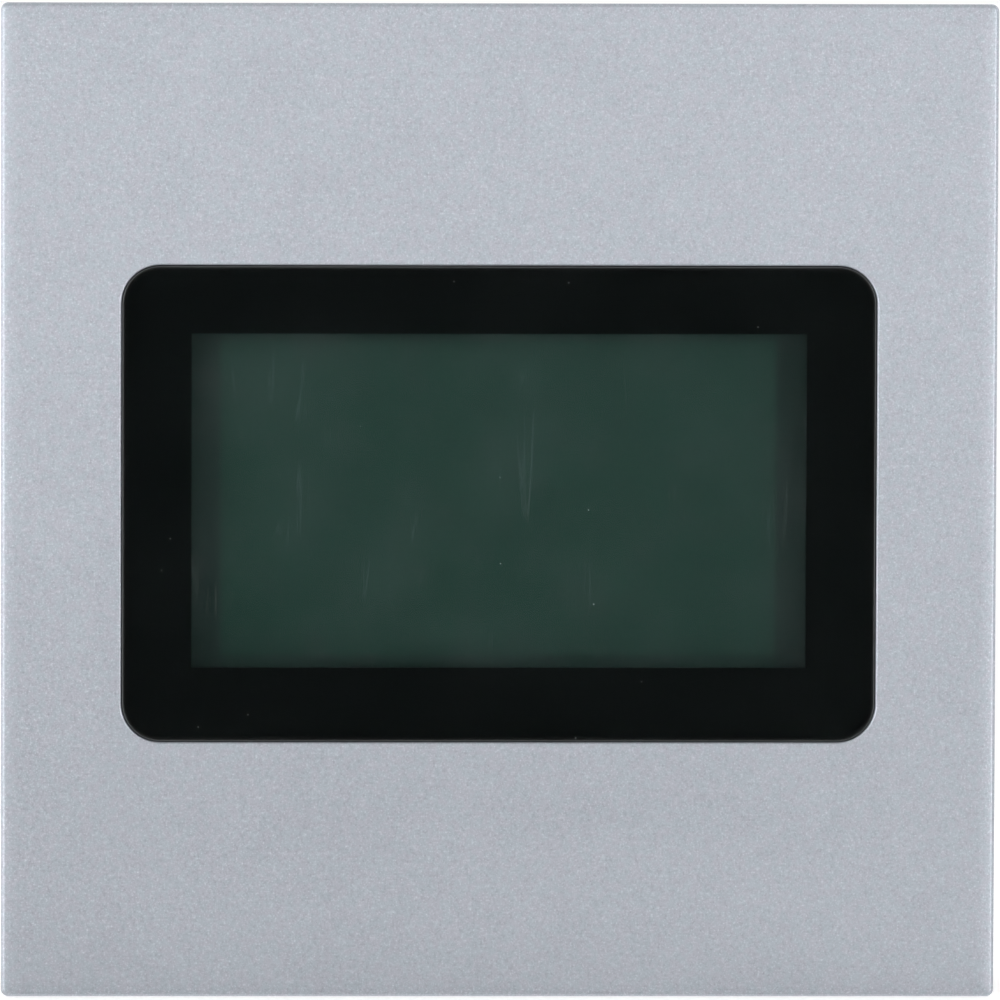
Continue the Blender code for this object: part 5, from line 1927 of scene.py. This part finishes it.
    def insert(self, bench: Bench, node: str) -> None:
        """A brass insert: knurled outside, r = R - k |sin(n a)|, and threaded inside as a sawtooth helix.

        Args:
            bench: where the pieces go.
            node: the CAD node that it stands for.
        """
        low, high, x, z = seat(node)
        angle = np.arange(96)[None, :] * math.tau / 96
        level = 0 * angle
        outer, inner, top = self.insert_radius, self.insert_bore + 0.02 * MM, high.y
        depth = np.linspace(0, 1, 9)[:, None]
        groove = 0.25 * MM * (np.abs(depth - 0.5) < 0.07)
        knurl = outer - 0.10 * MM * np.abs(np.sin(24 * angle + 0 * depth)) - groove
        outside = low.y + (top - low.y - 0.25 * MM) * depth
        rim = np.array([[top - 0.1 * MM, outer - 0.05 * MM], [top, outer - 0.15 * MM]])
        flare = np.array([[top, self.insert_bore + 0.35 * MM], [top - 0.3 * MM, inner]])
        edge = np.concatenate([rim, flare])
        turns = np.linspace(top - 0.35 * MM, low.y, 56)[:, None]
        tooth = np.abs(((turns / self.insert_pitch - angle / math.tau) % 1.0) * 2 - 1)
        radii = np.concatenate([knurl, edge[:, 1:] + level, inner - 0.22 * MM * tooth])
        depths = np.concatenate([outside, edge[:, :1], turns]) + level
        grid = np.stack([radii * np.cos(angle), depths, radii * np.sin(angle)], axis=-1)
        shell = skin(grid, ring=True).moved(x=x, z=z)
        bench.piece(f"{node}_knurled", shell, "turned_brass", stands_for=(node,))


# Studio


@dataclass(frozen=True)
class Softbox:
    """One soft light: where it stands, seen from the object, and how big and bright it is."""

    name: str
    azimuth: float
    elevation: float
    distance: float
    width: float
    height: float
    watts: float

    def place(self, target: Vector) -> None:
        """Adds the light, facing the target.

        Args:
            target: the point that it is aimed at.
        """
        data = bpy.data.lights.new(self.name, "AREA")
        data.shape = "RECTANGLE"
        data.size, data.size_y = self.width, self.height
        data.energy = self.watts
        light = bpy.data.objects.new(self.name, data)
        bpy.context.scene.collection.objects.link(light)
        back = direction(self.azimuth, self.elevation)
        light.location = target + back * self.distance
        light.rotation_euler = back.to_track_quat("Z", "Y").to_euler()
        light.visible_camera = False


def direction(azimuth: float, elevation: float) -> Vector:
    """Unit vector from the object to a viewer; azimuth 0 is in front, positive to the right."""
    a, e = math.radians(azimuth), math.radians(elevation)
    return Vector((math.sin(a) * math.cos(e), -math.cos(a) * math.cos(e), math.sin(e)))


@dataclass
class Studio:
    """A pale floor, a white surround, soft lights and the camera."""

    azimuth: float = -1.58
    elevation: float = 4.46
    roll: float = 0.184
    distance: float = 1447 * MM
    lens: float = 459.2
    aim_x: float = 0.095 * MM
    aim_z: float = 0.177 * MM
    floor_gap: float = 0.05 * MM
    floor_radius: float = 240 * MM
    floor_glow: tuple[float, float] = (0.12, 0.45)
    tent: tuple[tuple[float, float, float], ...] = ((7, 26, 0.40), (45, 70, 0.12), (70, 100, 0.65))
    ground: tuple[float, float, float] = (-0.40, -0.62, 0.42)
    boxes: tuple[Softbox, ...] = (
        Softbox("left_box", -45, 5, 1.0, 0.4, 0.4, 4.7),
        Softbox("right_box", 45, 5, 1.0, 0.4, 0.4, 5.2),
        Softbox("left_rim", -78, 5, 1.0, 0.4, 0.4, 1.6),
        Softbox("top_box", 0, 44, 1.0, 0.6, 0.3, 0.8),
        Softbox("low_left_box", -45, -25, 1.0, 0.4, 0.4, 2.5),
        Softbox("low_right_box", 45, -25, 1.0, 0.4, 0.4, 1.75),
        Softbox("rear_left_box", -145, 10, 1.0, 0.6, 0.6, 4.0),
        Softbox("rear_right_box", 150, 10, 1.0, 0.6, 0.6, 3.0),
    )

    def build(self) -> None:
        """Makes the set around the object."""
        low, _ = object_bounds()
        front = Vector((0, low.y, 0))
        self.camera(front)
        self.floor(low.z - self.floor_gap)
        self.world()
        for box in self.boxes:
            box.place(front)
        settings = bpy.context.scene.view_settings
        settings.view_transform = "Standard"
        settings.look = "None"

    def camera(self, front: Vector) -> None:
        """A long lens a little above and to the left of straight on.

        Args:
            front: the point that it looks at.
        """
        data = bpy.data.cameras.new("long_lens")
        data.lens = self.lens
        data.clip_start, data.clip_end = 0.1, 20.0
        camera = bpy.data.objects.new("long_lens", data)
        bpy.context.scene.collection.objects.link(camera)
        back = direction(self.azimuth, self.elevation)
        target = front + Vector((self.aim_x, 0, self.aim_z))
        camera.location = target + back * self.distance
        turn = back.to_track_quat("Z", "Y").to_matrix().to_4x4()
        camera.rotation_euler = (turn @ Matrix.Rotation(math.radians(self.roll), 4, "Z")).to_euler()
        bpy.context.scene.camera = camera

    def floor(self, z: float) -> None:
        """A pale floor under the plate's lower edge, which fades into the surround and isn't mirrored.

        Args:
            z: Z of the floor.
        """
        rim = circle(self.floor_radius, 96)
        mesh = bpy.data.meshes.new("floor")
        mesh.from_pydata([(x, y, z) for x, y in rim.tolist()], [], [tuple(range(len(rim)))])
        floor = bpy.data.objects.new("floor", mesh)
        bpy.context.scene.collection.objects.link(floor)
        shader = Shader("pale_floor")
        reach = shader.node("ShaderNodeVectorMath", {"operation": "LENGTH"}, {0: shader.place}, "Value")
        mirrored = shader.node("ShaderNodeLightPath", {}, {}, "Is Glossy Ray")
        fade = reach.between(self.floor_radius, 0.5 * self.floor_radius) * (1 - mirrored)
        seen = shader.node("ShaderNodeLightPath", {}, {}, "Is Camera Ray")
        dim, bright = ((glow, glow, glow) for glow in self.floor_glow)
        glow = shader.mix(seen, dim, bright)
        mesh.materials.append(
            shader.dress(
                Base_Color=(0.75, 0.75, 0.75),
                Roughness=0.9,
                Alpha=fade,
                Emission_Color=glow,
                Emission_Strength=1.0,
            )
        )
        floor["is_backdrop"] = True

    def world(self) -> None:
        """White to the camera; to everything else a soft tent with a dark opening round the camera.

        The tent's strength rises in smooth steps, each from one angle to another from the opening's
        middle, which is where a flat front reflects the camera to. The ground below it is brighter,
        as the pale floor that mirror rays pass through would be.
        """
        world = bpy.data.worlds.new("surround")
        bpy.context.scene.world = world
        world.use_nodes = True
        wiring = Wiring(world.node_tree)
        opening = direction(-self.azimuth, -self.elevation)
        around = wiring.node("ShaderNodeTexCoord", {}, {}, "Generated")
        facing = wiring.node(
            "ShaderNodeVectorMath", {"operation": "DOT_PRODUCT"}, {0: around, 1: tuple(opening)}, "Value"
        )
        cosines = [(math.cos(math.radians(a)), math.cos(math.radians(b)), k) for a, b, k in self.tent]
        steps = [facing.between(a, b) * k for a, b, k in cosines]
        height = wiring.node("ShaderNodeSeparateXYZ", {}, {0: around}, 2)
        ground = height.between(self.ground[0], self.ground[1]) * self.ground[2]
        tent = wiring.node("ShaderNodeBackground", {}, {"Strength": steps[0] + steps[1] + steps[2] + ground})
        white = wiring.node("ShaderNodeBackground", {}, {"Color": (1.0, 1.0, 1.0), "Strength": 1.0})
        seen = wiring.node("ShaderNodeLightPath", {}, {}, "Is Camera Ray")
        both = wiring.node("ShaderNodeMixShader", {}, {0: seen, 1: tent, 2: white})
        wiring.links.new(both.socket, wiring.nodes["World Output"].inputs["Surface"])


def main() -> None:
    """Loads the frame, builds every sub-assembly around it, and sets the studio."""
    logging.basicConfig(level=logging.INFO, format="%(name)s: %(message)s")
    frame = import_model()
    bench = Bench(frame["nodes"])
    FrontPlate().build(bench)
    CoverLens().build(bench)
    DisplayCell().build(bench)
    MainBoard().build(bench)
    for node, side in (("link_socket_in", 1), ("link_socket_out", -1)):
        LinkSocket().build(bench, node, side)
    Settings().build(bench)
    TamperSwitch().build(bench)
    RearHousing().build(bench)
    bare = set(frame["nodes"]) - bench.dressed
    if bare:
        LOG.warning("no finish on %s", ", ".join(sorted(bare)))
    Studio().build()


if __name__ == "__main__":
    main()
